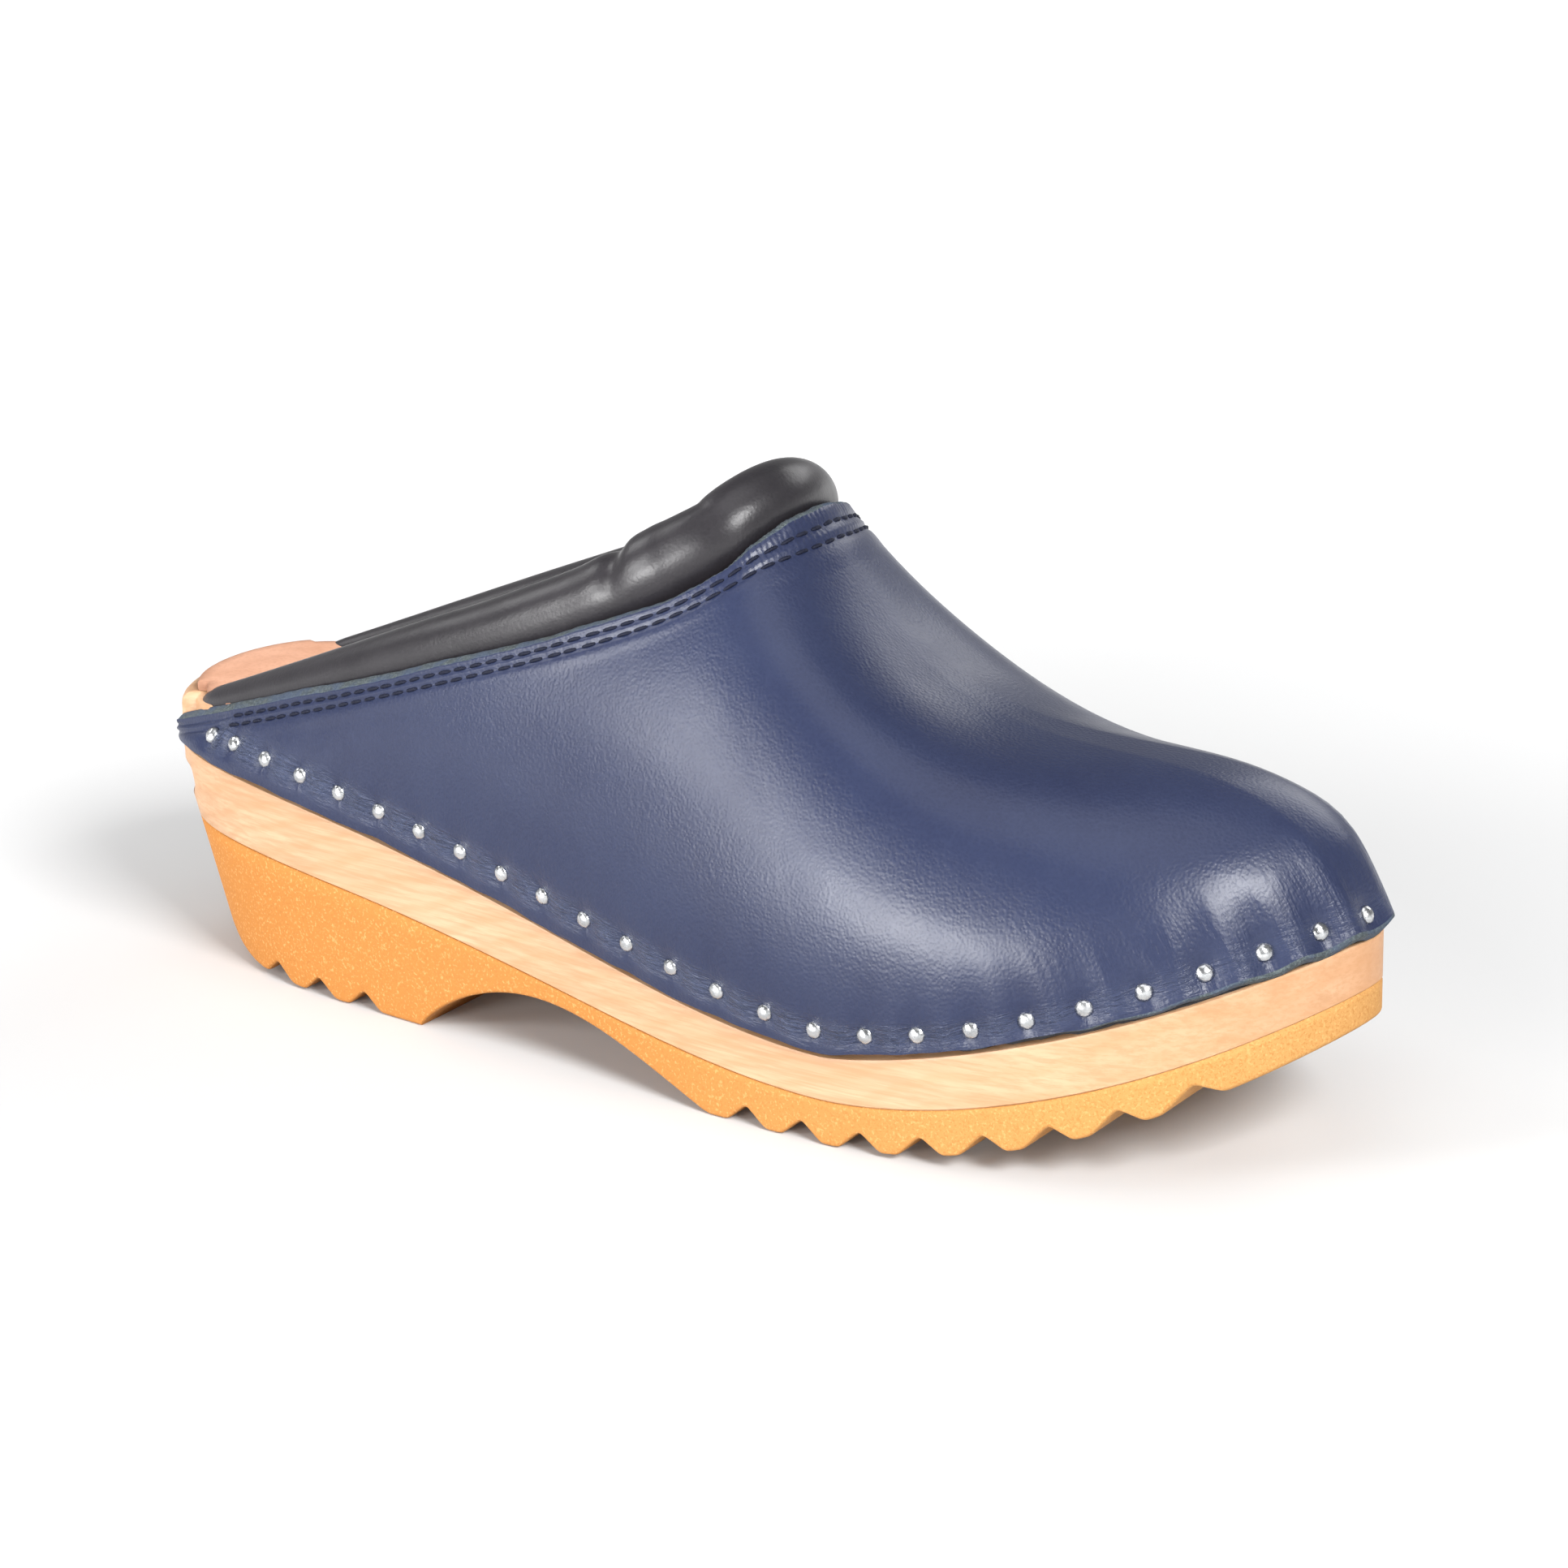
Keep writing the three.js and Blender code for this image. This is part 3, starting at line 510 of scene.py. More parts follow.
def upper_rows(s):
    """Row places for one rib, as v, between the cut edges: fine near the nails and the stitches."""
    length = rib_length(s)
    bottom, top = low_cut(s), length - top_cut(s)
    low = bottom + np.linspace(0, 1, 23) * np.minimum(15, length * 0.4)
    high = top - np.linspace(0, 1, 19)[::-1] * np.minimum(8, length * 0.35)
    middle = np.linspace(low[-1], high[0], 34)[1:-1]
    return np.concatenate([low, middle, high]) / length


def build_upper(leather, cut_edge, flesh):
    """The leather upper: worked face, cut edges all round, and the flesh side behind."""
    columns = np.sin(np.linspace(-1, 1, EDGE_COLUMNS) * 1.2) / math.sin(1.2)
    columns = mix(columns, np.linspace(-1, 1, EDGE_COLUMNS), 0.7)
    loops = []
    for s in columns:
        rows = upper_rows(s)
        outer = upper_skin(s, rows)
        out, _, up = upper_frame(s, EDGES)
        low_edge, high_edge = upper_skin(s, EDGES)
        thickness = LEATHER_THICKNESS * (1 + 0.05 * math.sin(s * 47) + 0.04 * math.sin(s * 131))
        top_edge = [high_edge - out[1] * thickness * t + up[1] * mix(-top_cut(s), top_cut(s), t ** 0.8)
                    for t in CUT_STEPS]
        bottom_edge = [low_edge - out[0] * thickness * t + up[0] * mix(low_cut(s), 0, t ** 0.8)
                       for t in CUT_STEPS[::-1]]
        inner = upper_point(s * np.ones(BACK_ROWS), np.linspace(1, 0, BACK_ROWS), -thickness)
        inner[0] = high_edge - out[1] * thickness + up[1] * top_cut(s) * 0.8
        inner[-1] = low_edge - out[0] * thickness + up[0] * 0.1
        loops.append(np.concatenate([outer, top_edge, inner, bottom_edge]))
    outside = len(outer)
    count = len(loops[0])
    faces = grid_faces(len(loops), count, closed=True) + end_caps(len(loops), count)
    slots = ([0] * (outside - 1) + [1] * 4 + [2] * (BACK_ROWS - 1) + [1] * 4) * (len(loops) - 1) + [1, 1]
    obj = add_mesh("upper_leather", loops, faces, [leather, cut_edge, flesh], slots, sharp=60)

    s_grid = np.repeat(columns, count)
    add_attribute(obj, "along_mm", edge_travel(s_grid))
    v_grid = np.zeros((len(loops), count))
    for i, s in enumerate(columns):
        v_grid[i, :outside] = upper_rows(s)
        v_grid[i, outside:] = 0.5
    up_grid = v_grid.ravel() * rib_length(s_grid)
    phase = nail_phase(edge_travel(s_grid))
    nearest = nearest_nail(phase)
    above = up_grid - NAIL_UP[nearest]
    between = np.abs(np.sin(math.pi * phase)) ** 0.7
    toe = near_toe(s_grid)
    add_attribute(obj, "above_nail_mm", above)
    # The wrinkle mask sets the creases' bump and the painted glints in the leather's colour.
    add_attribute(obj, "wrinkle", between * bell(above, 2.6) * (1 - 0.8 * toe))
    add_attribute(obj, "pull", bell(above - 4, 4 + 4 * toe) * (0.25 + 0.75 * toe))
    return obj


def build_lining(material):
    """The black lining behind the leather, showing as a thin edge below it."""
    columns = np.linspace(-1, 1, 420)[:, None]
    rows = np.linspace(0, 0.93, 26)[None, :]
    sheets = []
    for depth in (LEATHER_THICKNESS + LINING_GAP, LEATHER_THICKNESS + LINING_THICKNESS):
        sheet = upper_point(columns, rows, -depth)
        fuzz = 0.12 * rng.standard_normal(len(columns))
        sheet[:, 0, 2] -= LINING_SHOWS - edge_wobble(columns[:, 0]) + fuzz
        sheets.append(sheet)
    loops = np.concatenate([sheets[0], sheets[1][:, ::-1]], 1)
    count = loops.shape[1]
    faces = grid_faces(len(loops), count, closed=True) + end_caps(len(loops), count)
    return add_mesh("lining_sheet", loops, faces, [material], sharp=60)


# ---- sole

def ring_shares(xs):
    """Shares of the outline at each x: along the outer side, then back along the inner side."""
    shares = np.linspace(0, 1, 8001)
    ring = outline_at(shares)
    back = np.argmin(np.where((shares < 0.25) | (shares > 0.75), ring[:, 0], 1e9))
    tip = np.argmax(ring[:, 0])
    order = np.arange(back, back + 8001) % 8000
    outer = order[: (tip - back) % 8000 + 1]
    inner = order[(tip - back) % 8000:]
    low, high = ring[:, 0].min() + 0.02, ring[:, 0].max() - 0.02
    xs = np.clip(xs, low, high)
    outer_share = np.interp(xs, ring[outer, 0], np.unwrap(shares[outer], period=1))
    inner_share = np.interp(xs, ring[inner[::-1], 0], np.unwrap(shares[inner[::-1]], period=1))
    return np.concatenate([outer_share, inner_share[::-1]])


def body_stations(extra=()):
    """Places along the sole, dense at both ends and where asked."""
    middle = np.linspace(HEEL_X + 12, -HEEL_X - 12, 150)
    ends = 12 * (1 - np.cos(np.linspace(0, math.pi / 2, 26)))
    xs = np.concatenate([HEEL_X + ends, middle, -HEEL_X - ends, *extra])
    xs = np.unique(np.round(xs, 3))
    keep = np.concatenate([[True], np.diff(xs) > 0.02])
    return xs[keep]


def capped_rings(rings, name, materials, sharp, columns=(0.03, 0.25, 0.5, 0.75, 0.97)):
    """A body through matching closed rings, with flat-ruled caps that keep their edges crisp."""
    count = rings.shape[1]
    half = count // 2
    points = [rings.reshape(-1, 3)]
    faces = grid_faces(len(rings), count, closed=True)
    start = len(rings) * count
    for ring, base, turn in ((rings[0], 0, 1), (rings[-1], (len(rings) - 1) * count, -1)):
        outer, inner = ring[:half], ring[half:][::-1]
        across = [mix(outer, inner, share) for share in columns]
        points += across
        lanes = [base + np.arange(half)]
        for i in range(len(columns)):
            lanes.append(start + i * half + np.arange(half))
        lanes.append(base + count - 1 - np.arange(half))
        start += len(columns) * half
        for left, right in zip(lanes, lanes[1:]):
            for i in range(half - 1):
                quad = (left[i], right[i], right[i + 1], left[i + 1])
                faces.append(tuple(int(k) for k in quad[::turn]))
    return add_mesh(name, np.concatenate(points), faces, materials, sharp=sharp)


def heel_lean(x, z):
    heel = smooth((0.22 - (x - HEEL_X) / SOLE_LENGTH) / 0.22)
    return HEEL_SLOPE * heel * np.maximum(0, HEEL_LEAN_FROM - z)


def level_place(share, z, offset):
    """A place on the sole's side at height z, moved out by an offset."""
    place = outline_at(share)
    heel = smooth((0.4 - (place[..., 0] - HEEL_X) / SOLE_LENGTH) / 0.3)
    taper = HEEL_TAPER * heel * np.clip((HEEL_LEAN_FROM - z) / HEEL_LEAN_FROM, 0, 1)
    moved = place + outward_at(share) * (offset - taper)[..., None]
    return np.stack([moved[..., 0] + heel_lean(moved[..., 0], z), moved[..., 1], z], -1)


class Rings:
    """Rings on the side of the sole, one over another, made from heights and offsets."""

    def __init__(self, shares):
        self.shares = shares
        self.x = outline_at(shares)[:, 0]
        self.rings = []

    def height(self, line):
        return line_height(line, self.x)

    def add(self, z, offset=0.0):
        self.rings.append(level_place(self.shares, z, offset + np.zeros(len(self.shares))))

    def body(self, name, material, sharp, turned=False):
        rings = np.array(self.rings)
        return capped_rings(rings[::-1] if turned else rings, name, [material], sharp)


SPRING_FROM = HEEL_X + SPRING_SHARE * SOLE_LENGTH
ARCH_FROM = HEEL_X + ARCH_SHARES[0] * SOLE_LENGTH
ARCH_TO = HEEL_X + ARCH_SHARES[1] * SOLE_LENGTH


def tread_height(x):
    to_back = np.maximum(0, (SPRING_FROM - x) / (SPRING_FROM - HEEL_X))
    return line_height(TREAD, x) + HEEL_SPRING * to_back ** 2


def notch_row(first_share, count):
    xs = [HEEL_X + first_share * SOLE_LENGTH]
    while len(xs) < count:
        slope = (tread_height(xs[-1] + NOTCH_PITCH) - tread_height(xs[-1])) / NOTCH_PITCH
        xs.append(xs[-1] + NOTCH_PITCH * math.cos(math.atan(slope)))
    return xs


NOTCHES = notch_row(*HEEL_NOTCHES) + notch_row(*BALL_NOTCHES)


def underside(x):
    """Height of the underside at x, with the arch and the rounded notches."""
    z = tread_height(x)
    for centre in NOTCHES:
        off = np.sqrt((x - centre) ** 2 + 0.55 ** 2) - 0.4
        raw = NOTCH_DEPTH * (1 - off / (NOTCH_MOUTH / 2))
        z = z + (raw + np.sqrt(raw ** 2 + 0.5 ** 2)) / 2 * (np.abs(x - centre) < NOTCH_PITCH)
    share = np.clip((x - ARCH_FROM) / (ARCH_TO - ARCH_FROM), 0, 1)
    return z + ARCH_HEIGHT * np.sin(math.pi * share ** 0.8)


def build_outsole(material):
    """The outsole: side wall, rounded lower edge, arch and notched tread."""
    notch_xs = [np.linspace(x - 5.5, x + 5.5, 27) for x in NOTCHES]
    breast = ARCH_FROM + np.concatenate([np.linspace(-1.2, 1.2, 9), np.linspace(1.5, 12, 22)])
    leaned = [heel_lean(xs, np.full(len(xs), 2.0)) for xs in notch_xs]
    extra = [xs - lean for xs, lean in zip(notch_xs, leaned)] + [breast]
    xs = body_stations(extra)
    shares = ring_shares(xs)
    stack = Rings(shares)
    top = stack.height(OUTSOLE_TOP) - SOLE_GAP
    to_heel_tip = smooth(-outward_at(shares)[:, 0] * 1.4 - 0.2) * (stack.x < 0)
    radius = mix(TREAD_EDGE_RADIUS, HEEL_TIP_RADIUS, to_heel_tip)

    def bottom(offset):
        z = np.zeros(len(shares))
        for _ in range(6):
            z = mix(z, underside(level_place(shares, z, offset)[:, 0]), 0.8)
        return z

    stack.add(top, -TOP_BEVEL)
    stack.add(top - TOP_BEVEL)
    wall_low = bottom(np.zeros(len(shares))) + radius
    for share in (0.15, 0.35, 0.6, 0.85):
        stack.add(mix(top - TOP_BEVEL, wall_low, share))
    for angle in np.linspace(0, math.pi / 2, 7):
        offset = -radius * (1 - math.cos(angle))
        stack.add(bottom(offset) + radius * (1 - math.sin(angle)), offset)
    return stack.body("outsole_rubber", material, 50, turned=True)


def rim_depth(s, height):
    """How far inside the outline the wood's nailed face is at a height over the leather's edge."""
    depth = LEATHER_THICKNESS + GAP + LINING_THICKNESS + WOOD_GAP
    fine = np.linspace(0, 1, 60)
    z = upper_edge(s)[:, 2] + height
    behind = upper_point(s[:, None], fine[None, :], -depth)
    hit = np.argmax(behind[:, :, 2] >= z[:, None], axis=1)
    place = behind[np.arange(len(s)), hit]
    share = edge_share(s)
    offset = ((place[:, :2] - outline_at(share)) * outward_at(share)).sum(1)
    return np.minimum(0, offset)


def s_of_share(share):
    """s for a place on the outline, and how bare of leather that place is."""
    share = np.mod(share, 1)
    outer = (share - TOE_SHARE) / (TOE_SHARE - OUTER_END)
    inner = (share - TOE_SHARE) / (INNER_END - TOE_SHARE)
    s = np.where(share < TOE_SHARE, outer, inner)
    beyond = (np.abs(s) - 1) * (TOE_SHARE - OUTER_END) * OUTLINE_LENGTH
    return np.clip(s, -1, 1), smooth((beyond + 0.4) / 0.8)


def build_wood(material):
    """The wooden sole: side wall, rebate behind the leather, bare rounded rim and groove at the back."""
    shares = ring_shares(body_stations([np.linspace(UPPER_START_X - 2, UPPER_START_X + 2, 17)]))
    s, bare = s_of_share(shares)
    stack = Rings(shares)
    low, shoulder, footbed = (stack.height(line) for line in (OUTSOLE_TOP, WOOD_SHOULDER, FOOTBED))
    foot = upper_edge(s)[:, 2] - LINING_SHOWS - 0.25
    nailed_top = mix(foot, shoulder - 0.8, bare)
    groove_here = smooth((HEEL_X + GROOVE_REACH - stack.x) / 11)

    stack.add(low, -FOOT_BEVEL)
    for share in (0, 0.12, 0.25):
        stack.add(mix(low + FOOT_BEVEL, nailed_top, share))
    centre = np.minimum(shoulder - GROOVE_DROP, nailed_top - 1)
    start = mix(low + FOOT_BEVEL, nailed_top, 0.3)
    for step in (-3.4, -2.6, -1.9, -1.3, -0.8, -0.35, 0, 0.35, 0.8, 1.3, 1.9, 2.6, 3.4):
        z = mix(mix(start, nailed_top - 0.7, (step + 3.4) / 6.8), centre + step, groove_here)
        dent = GROOVE_DEPTH * max(0, 1 - math.sqrt(step * step + 0.09) / 3.0) ** 0.9
        stack.add(z, -dent * groove_here)
    for drop, rise, nailed_offset, bare_offset in SHOULDER_RINGS:
        stack.add(mix(nailed_top - drop, shoulder + rise, bare), mix(nailed_offset, bare_offset, bare))
    depth_low = rim_depth(s, 0.2)
    depth_high = rim_depth(s, 8.0)
    for share, bare_offset, bare_height in ((0.02, 0.15, 0.35), (0.3, 0.0, 0.55), (0.6, 0.0, 0.7)):
        nailed = mix(depth_low, depth_high, share)
        z = mix(mix(nailed_top, footbed - RIM_RADIUS, share), mix(shoulder, footbed, bare_height), bare)
        stack.add(z, mix(nailed, bare_offset, bare))
    for angle in np.linspace(0, math.pi / 2, 6):
        inset = RIM_RADIUS * (1 - math.cos(angle))
        stack.add(footbed - RIM_RADIUS * (1 - math.sin(angle)), mix(depth_high, 0, bare) - inset)
    return stack.body("wood_sole_body", material, 42)


def build_insole(material):
    """The insole: a soft-edged sheet on the footbed, a little darker at its rubbed edge."""
    shares = ring_shares(body_stations())
    s, bare = s_of_share(shares)
    nailed = rim_depth(s, 11.0) - INSOLE_INSET
    offset = mix(nailed, -RIM_RADIUS - INSOLE_INSET + 1.2, bare)
    stack = Rings(shares)
    low = stack.height(FOOTBED) + 0.05
    for outward, share, _ in INSOLE_EDGE:
        stack.add(low + INSOLE_THICKNESS * share, offset + outward)
    obj = stack.body("insole_leather", material, 60)
    rim = np.zeros(len(obj.data.vertices))
    rubbed = np.repeat([edge[2] for edge in INSOLE_EDGE], len(shares))
    rim[:len(rubbed)] = rubbed
    add_attribute(obj, "rim", rim)
    return obj


# ---- collar

# Creases across the roll: place as s, depth as a share of the radius, and half width in s
CREASES = ((-0.548, 0.15, 0.011), (-0.7, 0.03, 0.03), (0.53, 0.12, 0.016))
COLLAR_RINGS = 300
COLLAR_SIDES = 32
SEAM_SIDE = -0.55
COLLAR_GAP = -0.2
# How many rings either way the corners are evened over, and how widely those are weighted
EVEN_REACH = 30
EVEN_SPREAD = 11


def collar_radius(s):
    """Radius of the roll: thin at the heel ends, fullest at the corners of the throat."""
    from_end = np.clip((1 - np.abs(s)) / COLLAR_TAPER, 0, 1)
    corner = 0.9 * bell(np.abs(s) - 0.45, 0.1)
    return mix(COLLAR_END_RADIUS, COLLAR_RADIUS, smooth(from_end ** 0.7)) + corner


def into_shoe(s):
    along = top_row(s + 0.01) - top_row(s - 0.01)
    return unit(np.stack([-along[..., 1], along[..., 0], np.zeros(along.shape[:-1])], -1))


def collar_centre(s):
    """Centre line of the roll, evened out so that it turns gently at the corners of the throat."""
    radius = collar_radius(s)
    swell = 2.6 * bell(np.abs(s) - 0.46, 0.1) - 1.7 * bell(s, 0.3)
    lift = (radius * COLLAR_LIFT + swell)[..., None]
    aside = LEATHER_THICKNESS + COLLAR_GAP + np.sqrt(np.maximum(radius[..., None] ** 2 - lift ** 2, 1))
    reach = np.minimum(0.075, 0.995 - np.abs(s))
    places = [s + reach * step for step in np.linspace(-1, 1, 7)]
    rows = [top_row(p) + into_shoe(p) * aside for p in places]
    return np.mean(rows, 0) + np.array([0, 0, 1.0]) * lift


def collar_loops(shrink):
    """Rings round the collar roll, with its creases, narrowing at both heel ends."""
    t = np.linspace(-1, 1, COLLAR_RINGS)
    s = COLLAR_END * t * mix(0.6, 1, t * t)
    centre = collar_centre(s)
    ahead, behind = (collar_centre(np.clip(s + step, -0.99, 0.99)) for step in (0.1, -0.1))
    along = unit(ahead - behind)
    side = into_shoe(s)
    rise = unit(np.cross(along, side))
    side = np.cross(rise, along)
    angle = circle(COLLAR_SIDES)
    end = np.sqrt(np.clip((1 - np.abs(t)) / 0.012, 0, 1))
    radius = (collar_radius(s) - shrink) * mix(0.35, 1, end)
    size = radius[:, None] * np.ones(COLLAR_SIDES)
    for place, depth, width in CREASES:
        skew = place + 0.012 * np.sin(angle)[None, :]
        off = (s[:, None] - skew) / width
        facing = 0.15 + 0.85 * np.clip(np.sin(angle - math.pi * 0.1), 0, 1)[None, :] ** 2
        valley = bell(off, 1)
        size = size * (1 - depth * facing * (valley - 0.2 * bell(np.abs(off) - 2.4, 1.3)))
    loops = centre[:, None] + round_tube(side, rise, angle) * size[..., None]
    weights = np.exp(-0.5 * (np.arange(-EVEN_REACH, EVEN_REACH + 1) / EVEN_SPREAD) ** 2)
    padded = np.pad(loops, ((EVEN_REACH, EVEN_REACH), (0, 0), (0, 0)), mode="edge")
    even = sum(w * padded[k:k + len(loops)] for k, w in enumerate(weights / weights.sum()))
    corner = np.exp(-((np.abs(s) - 0.38) / 0.1) ** 4)
    return mix(loops, even, corner[:, None, None])


def coordinates(obj):
    places = np.zeros(len(obj.data.vertices) * 3)
    obj.data.vertices.foreach_get("co", places)
    return places.reshape(-1, 3)


def puff(obj, frames=20, cap=1.6):
    """Swells a pad by cloth simulation, moving no point further than the cap, and applies the result."""
    scene = bpy.context.scene
    before = coordinates(obj)
    cloth = obj.modifiers.new("cloth", "CLOTH")
    fabric = cloth.settings
    fabric.use_pressure = True
    fabric.uniform_pressure_force = 4
    fabric.effector_weights.gravity = 0
    fabric.vertex_group_mass = "seam"
    fabric.pin_stiffness = 1
    cloth.point_cache.frame_start = 1
    cloth.point_cache.frame_end = frames
    for number in range(1, frames + 1):
        scene.frame_set(number)
    move = coordinates(obj.evaluated_get(bpy.context.evaluated_depsgraph_get())) - before
    obj.modifiers.remove(cloth)
    scene.frame_set(1)
    far = np.linalg.norm(move, axis=1, keepdims=True)
    move *= np.minimum(1, cap * MM / np.maximum(far, 1e-9))
    obj.data.vertices.foreach_set("co", (before + move).ravel())
    obj.data.update()


def build_collar(material):
    """The padded collar: a leather roll pinned along the topline and swollen by cloth simulation."""
    loops = collar_loops(0.35)
    count = COLLAR_SIDES
    faces = [face[::-1] for face in grid_faces(len(loops), count, closed=True)]
    obj = add_mesh("collar_pad", loops, faces + end_caps(len(loops), count), [material])
    numbers = np.arange(len(loops) * count).reshape(-1, count)
    held = numbers[:, np.cos(circle(count)) < SEAM_SIDE]
    seam = obj.vertex_groups.new(name="seam")
    seam.add([int(k) for k in (*held.ravel(), *numbers[:2].ravel(), *numbers[-2:].ravel())], 1.0, "REPLACE")
    puff(obj)
    finer = obj.modifiers.new("finer", "SUBSURF")
    finer.levels = finer.render_levels = 1
    return obj


# ---- nails and stitches

def build_nail(number, material):
    """One domed nail head, sunk a little in its dimple."""
    s, v = NAIL_S[number - 1], NAIL_V[number - 1]
    out = upper_frame(s, v)[0].copy()
    out[2] = max(out[2], 0)
    out = unit(out)
    seat = upper_point(s, v, leather_relief(s, v) + 0.05)
    turn = np.array(Vector((0, 0, 1)).rotation_difference(Vector(out)).to_matrix())
    wobble = rng.normal(0, 0.05, (6, NAIL_SIDES))
    around = circle(NAIL_SIDES)
    rings = []
    for uneven, angle in zip(wobble, np.linspace(0, math.pi / 2, 7)):
        r = NAIL_HEAD_RADIUS * math.cos(angle) * (1 + uneven * 0.6)
        height = np.full(NAIL_SIDES, NAIL_HEAD_HEIGHT * math.sin(angle) ** 0.9)
        rings.append(np.stack([r * np.cos(around), r * np.sin(around), height], -1))
    skirt = rings[0] * [0.92, 0.92, 1] - [0, 0, NAIL_SKIRT]
    rings = np.array([skirt, *rings])
    ends = [[0, 0, NAIL_HEAD_HEIGHT + 0.02], [0, 0, -NAIL_SKIRT]]
    points = np.concatenate([rings.reshape(-1, 3), ends])
    faces = grid_faces(len(rings), NAIL_SIDES, closed=True)
    top, bottom, last = len(points) - 2, len(points) - 1, (len(rings) - 1) * NAIL_SIDES
    for i in range(NAIL_SIDES):
        j = (i + 1) % NAIL_SIDES
        faces += [(last + i, last + j, top), (j, i, bottom)]
    return add_mesh(f"nail_head_{number:02d}", points @ turn.T + seat, faces, [material])


def build_stitches(name, below, material):
    """One row of separate stitches, each dipping into the leather at both ends."""
    s = np.linspace(-STITCH_END, STITCH_END, 4001)
    v = 1 - below / rib_length(s)
    line = upper_skin(s, v)
    out = upper_frame(s, v)[0]
    travel = running_sum(np.linalg.norm(np.diff(line, axis=0), axis=1))
    angle = circle(THREAD_SIDES)
    shares = np.linspace(0, 1, STITCH_RINGS)
    points, faces = [], []
    for start in np.arange(0.5, travel[-1] - STITCH_LENGTH, STITCH_PITCH):
        begin = start + rng.normal(0, 0.1)
        here = begin + shares * (STITCH_LENGTH + rng.normal(0, 0.12))
        path = np.stack([np.interp(here, travel, line[:, k]) for k in range(3)], -1)
        normal = unit(np.stack([np.interp(here, travel, out[:, k]) for k in range(3)], -1))
        arch = 0.42 * np.sin(math.pi * shares) ** 0.5 - 0.2
        path += normal * arch[:, None]
        along = unit(np.gradient(path, axis=0))
        across = unit(np.cross(normal, along))
        lift = np.cross(along, across)
        plump = THREAD_RADIUS * (0.75 + 0.25 * np.sin(math.pi * shares) ** 0.5)
        ring = path[:, None] + plump[:, None, None] * round_tube(across, lift, angle, wide=1.1)
        first = len(points) * STITCH_RINGS * THREAD_SIDES
        points.append(ring.reshape(-1, 3))
        faces += grid_faces(STITCH_RINGS, THREAD_SIDES, first, closed=True)
        faces += [cap[::-1] for cap in end_caps(STITCH_RINGS, THREAD_SIDES, first)]
    return add_mesh(name, np.concatenate(points), faces, [material])


# ---- materials

class Nodes:
    """Short calls for building one material's node tree."""

    def __init__(self, name, **shader):
        self.material = bpy.data.materials.new(name)
        self.material.use_nodes = True
        self.tree = self.material.node_tree
        self.shader = self.tree.nodes["Principled BSDF"]
        for key, value in shader.items():
            self.shader.inputs[key.replace("_", " ")].default_value = value

    def add(self, kind, inputs=None, **settings):
        """A node with its settings, and with values or other nodes' outputs for its inputs."""
        node = self.tree.nodes.new("ShaderNode" + kind)
        for key, value in settings.items():
            setattr(node, key, value)
        for key, value in (inputs or {}).items():
            if isinstance(value, bpy.types.NodeSocket):
                self.tree.links.new(value, node.inputs[key])
            else:
                node.inputs[key].default_value = value
        return node

    def place(self, stretch=(1, 1, 1), turn=(0, 0, 0)):
        """Object coordinates in metres, turned and stretched."""
        inputs = {"Vector": self.add("TexCoord").outputs["Object"], "Scale": stretch}
        inputs["Rotation"] = [math.radians(a) for a in turn]
        return self.add("Mapping", inputs).outputs["Vector"]

    def noise(self, scale, detail=2.0, rough=0.5, vector=None, distort=0.0):
        inputs = {"Scale": scale, "Detail": detail, "Roughness": rough, "Distortion": distort}
        inputs["Vector"] = vector or self.place()
        return self.add("TexNoise", inputs).outputs["Fac"]

    def cells(self, scale, feature="F1", vector=None):
        inputs = {"Scale": scale, "Vector": vector or self.place()}
        return self.add("TexVoronoi", inputs, feature=feature).outputs["Distance"]

    def ramp(self, value, *stops):
        """Colours or grey levels at positions."""
        node = self.add("ValToRGB", {"Fac": value})
        elements = node.color_ramp.elements
        while len(elements) < len(stops):
            elements.new(0.5)
        for element, (position, colour) in zip(elements, stops):
            element.position = position
            grey = (colour,) * 3 if isinstance(colour, (int, float)) else colour
            element.color = (*grey, 1)
        return node.outputs["Color"]

    def mix(self, share, base, colour):
        """The base, turned to a plain colour by a share."""
        return self.add("Mix", {0: share, 6: base, 7: (*colour, 1)}, data_type="RGBA").outputs[2]

    def tint(self, base, value, low, high, colour):
        """The base, turned to a plain colour as a value goes from one position and share to another."""
        return self.mix(self.ramp(value, low, high), base, colour)

    def math(self, operation, a, b=0.5, clamp=False):
        return self.add("Math", {0: a, 1: b}, operation=operation, use_clamp=clamp).outputs[0]

    def attribute(self, name):
        return self.add("Attribute", attribute_name=name).outputs["Fac"]

    def bump(self, height, strength, distance, under=None):
        inputs = {"Height": height, "Strength": strength, "Distance": distance}
        if under is not None:
            inputs["Normal"] = under
        return self.add("Bump", inputs).outputs["Normal"]

    def finish(self, colour=None, roughness=None, normal=None):
        for value, socket in ((colour, "Base Color"), (roughness, "Roughness"), (normal, "Normal")):
            if value is not None:
                self.tree.links.new(value, self.shader.inputs[socket])
        return self.material


def fibrous(name, fineness, colours, roughness, **shader):
    """A fibrous surface, whose colour, roughness and bump all follow one fine noise."""
    n = Nodes(name, **shader)
    nap = n.noise(*fineness)
    return n.finish(n.ramp(nap, *colours), n.ramp(nap, *roughness), n.bump(nap, 0.5, 0.0002))


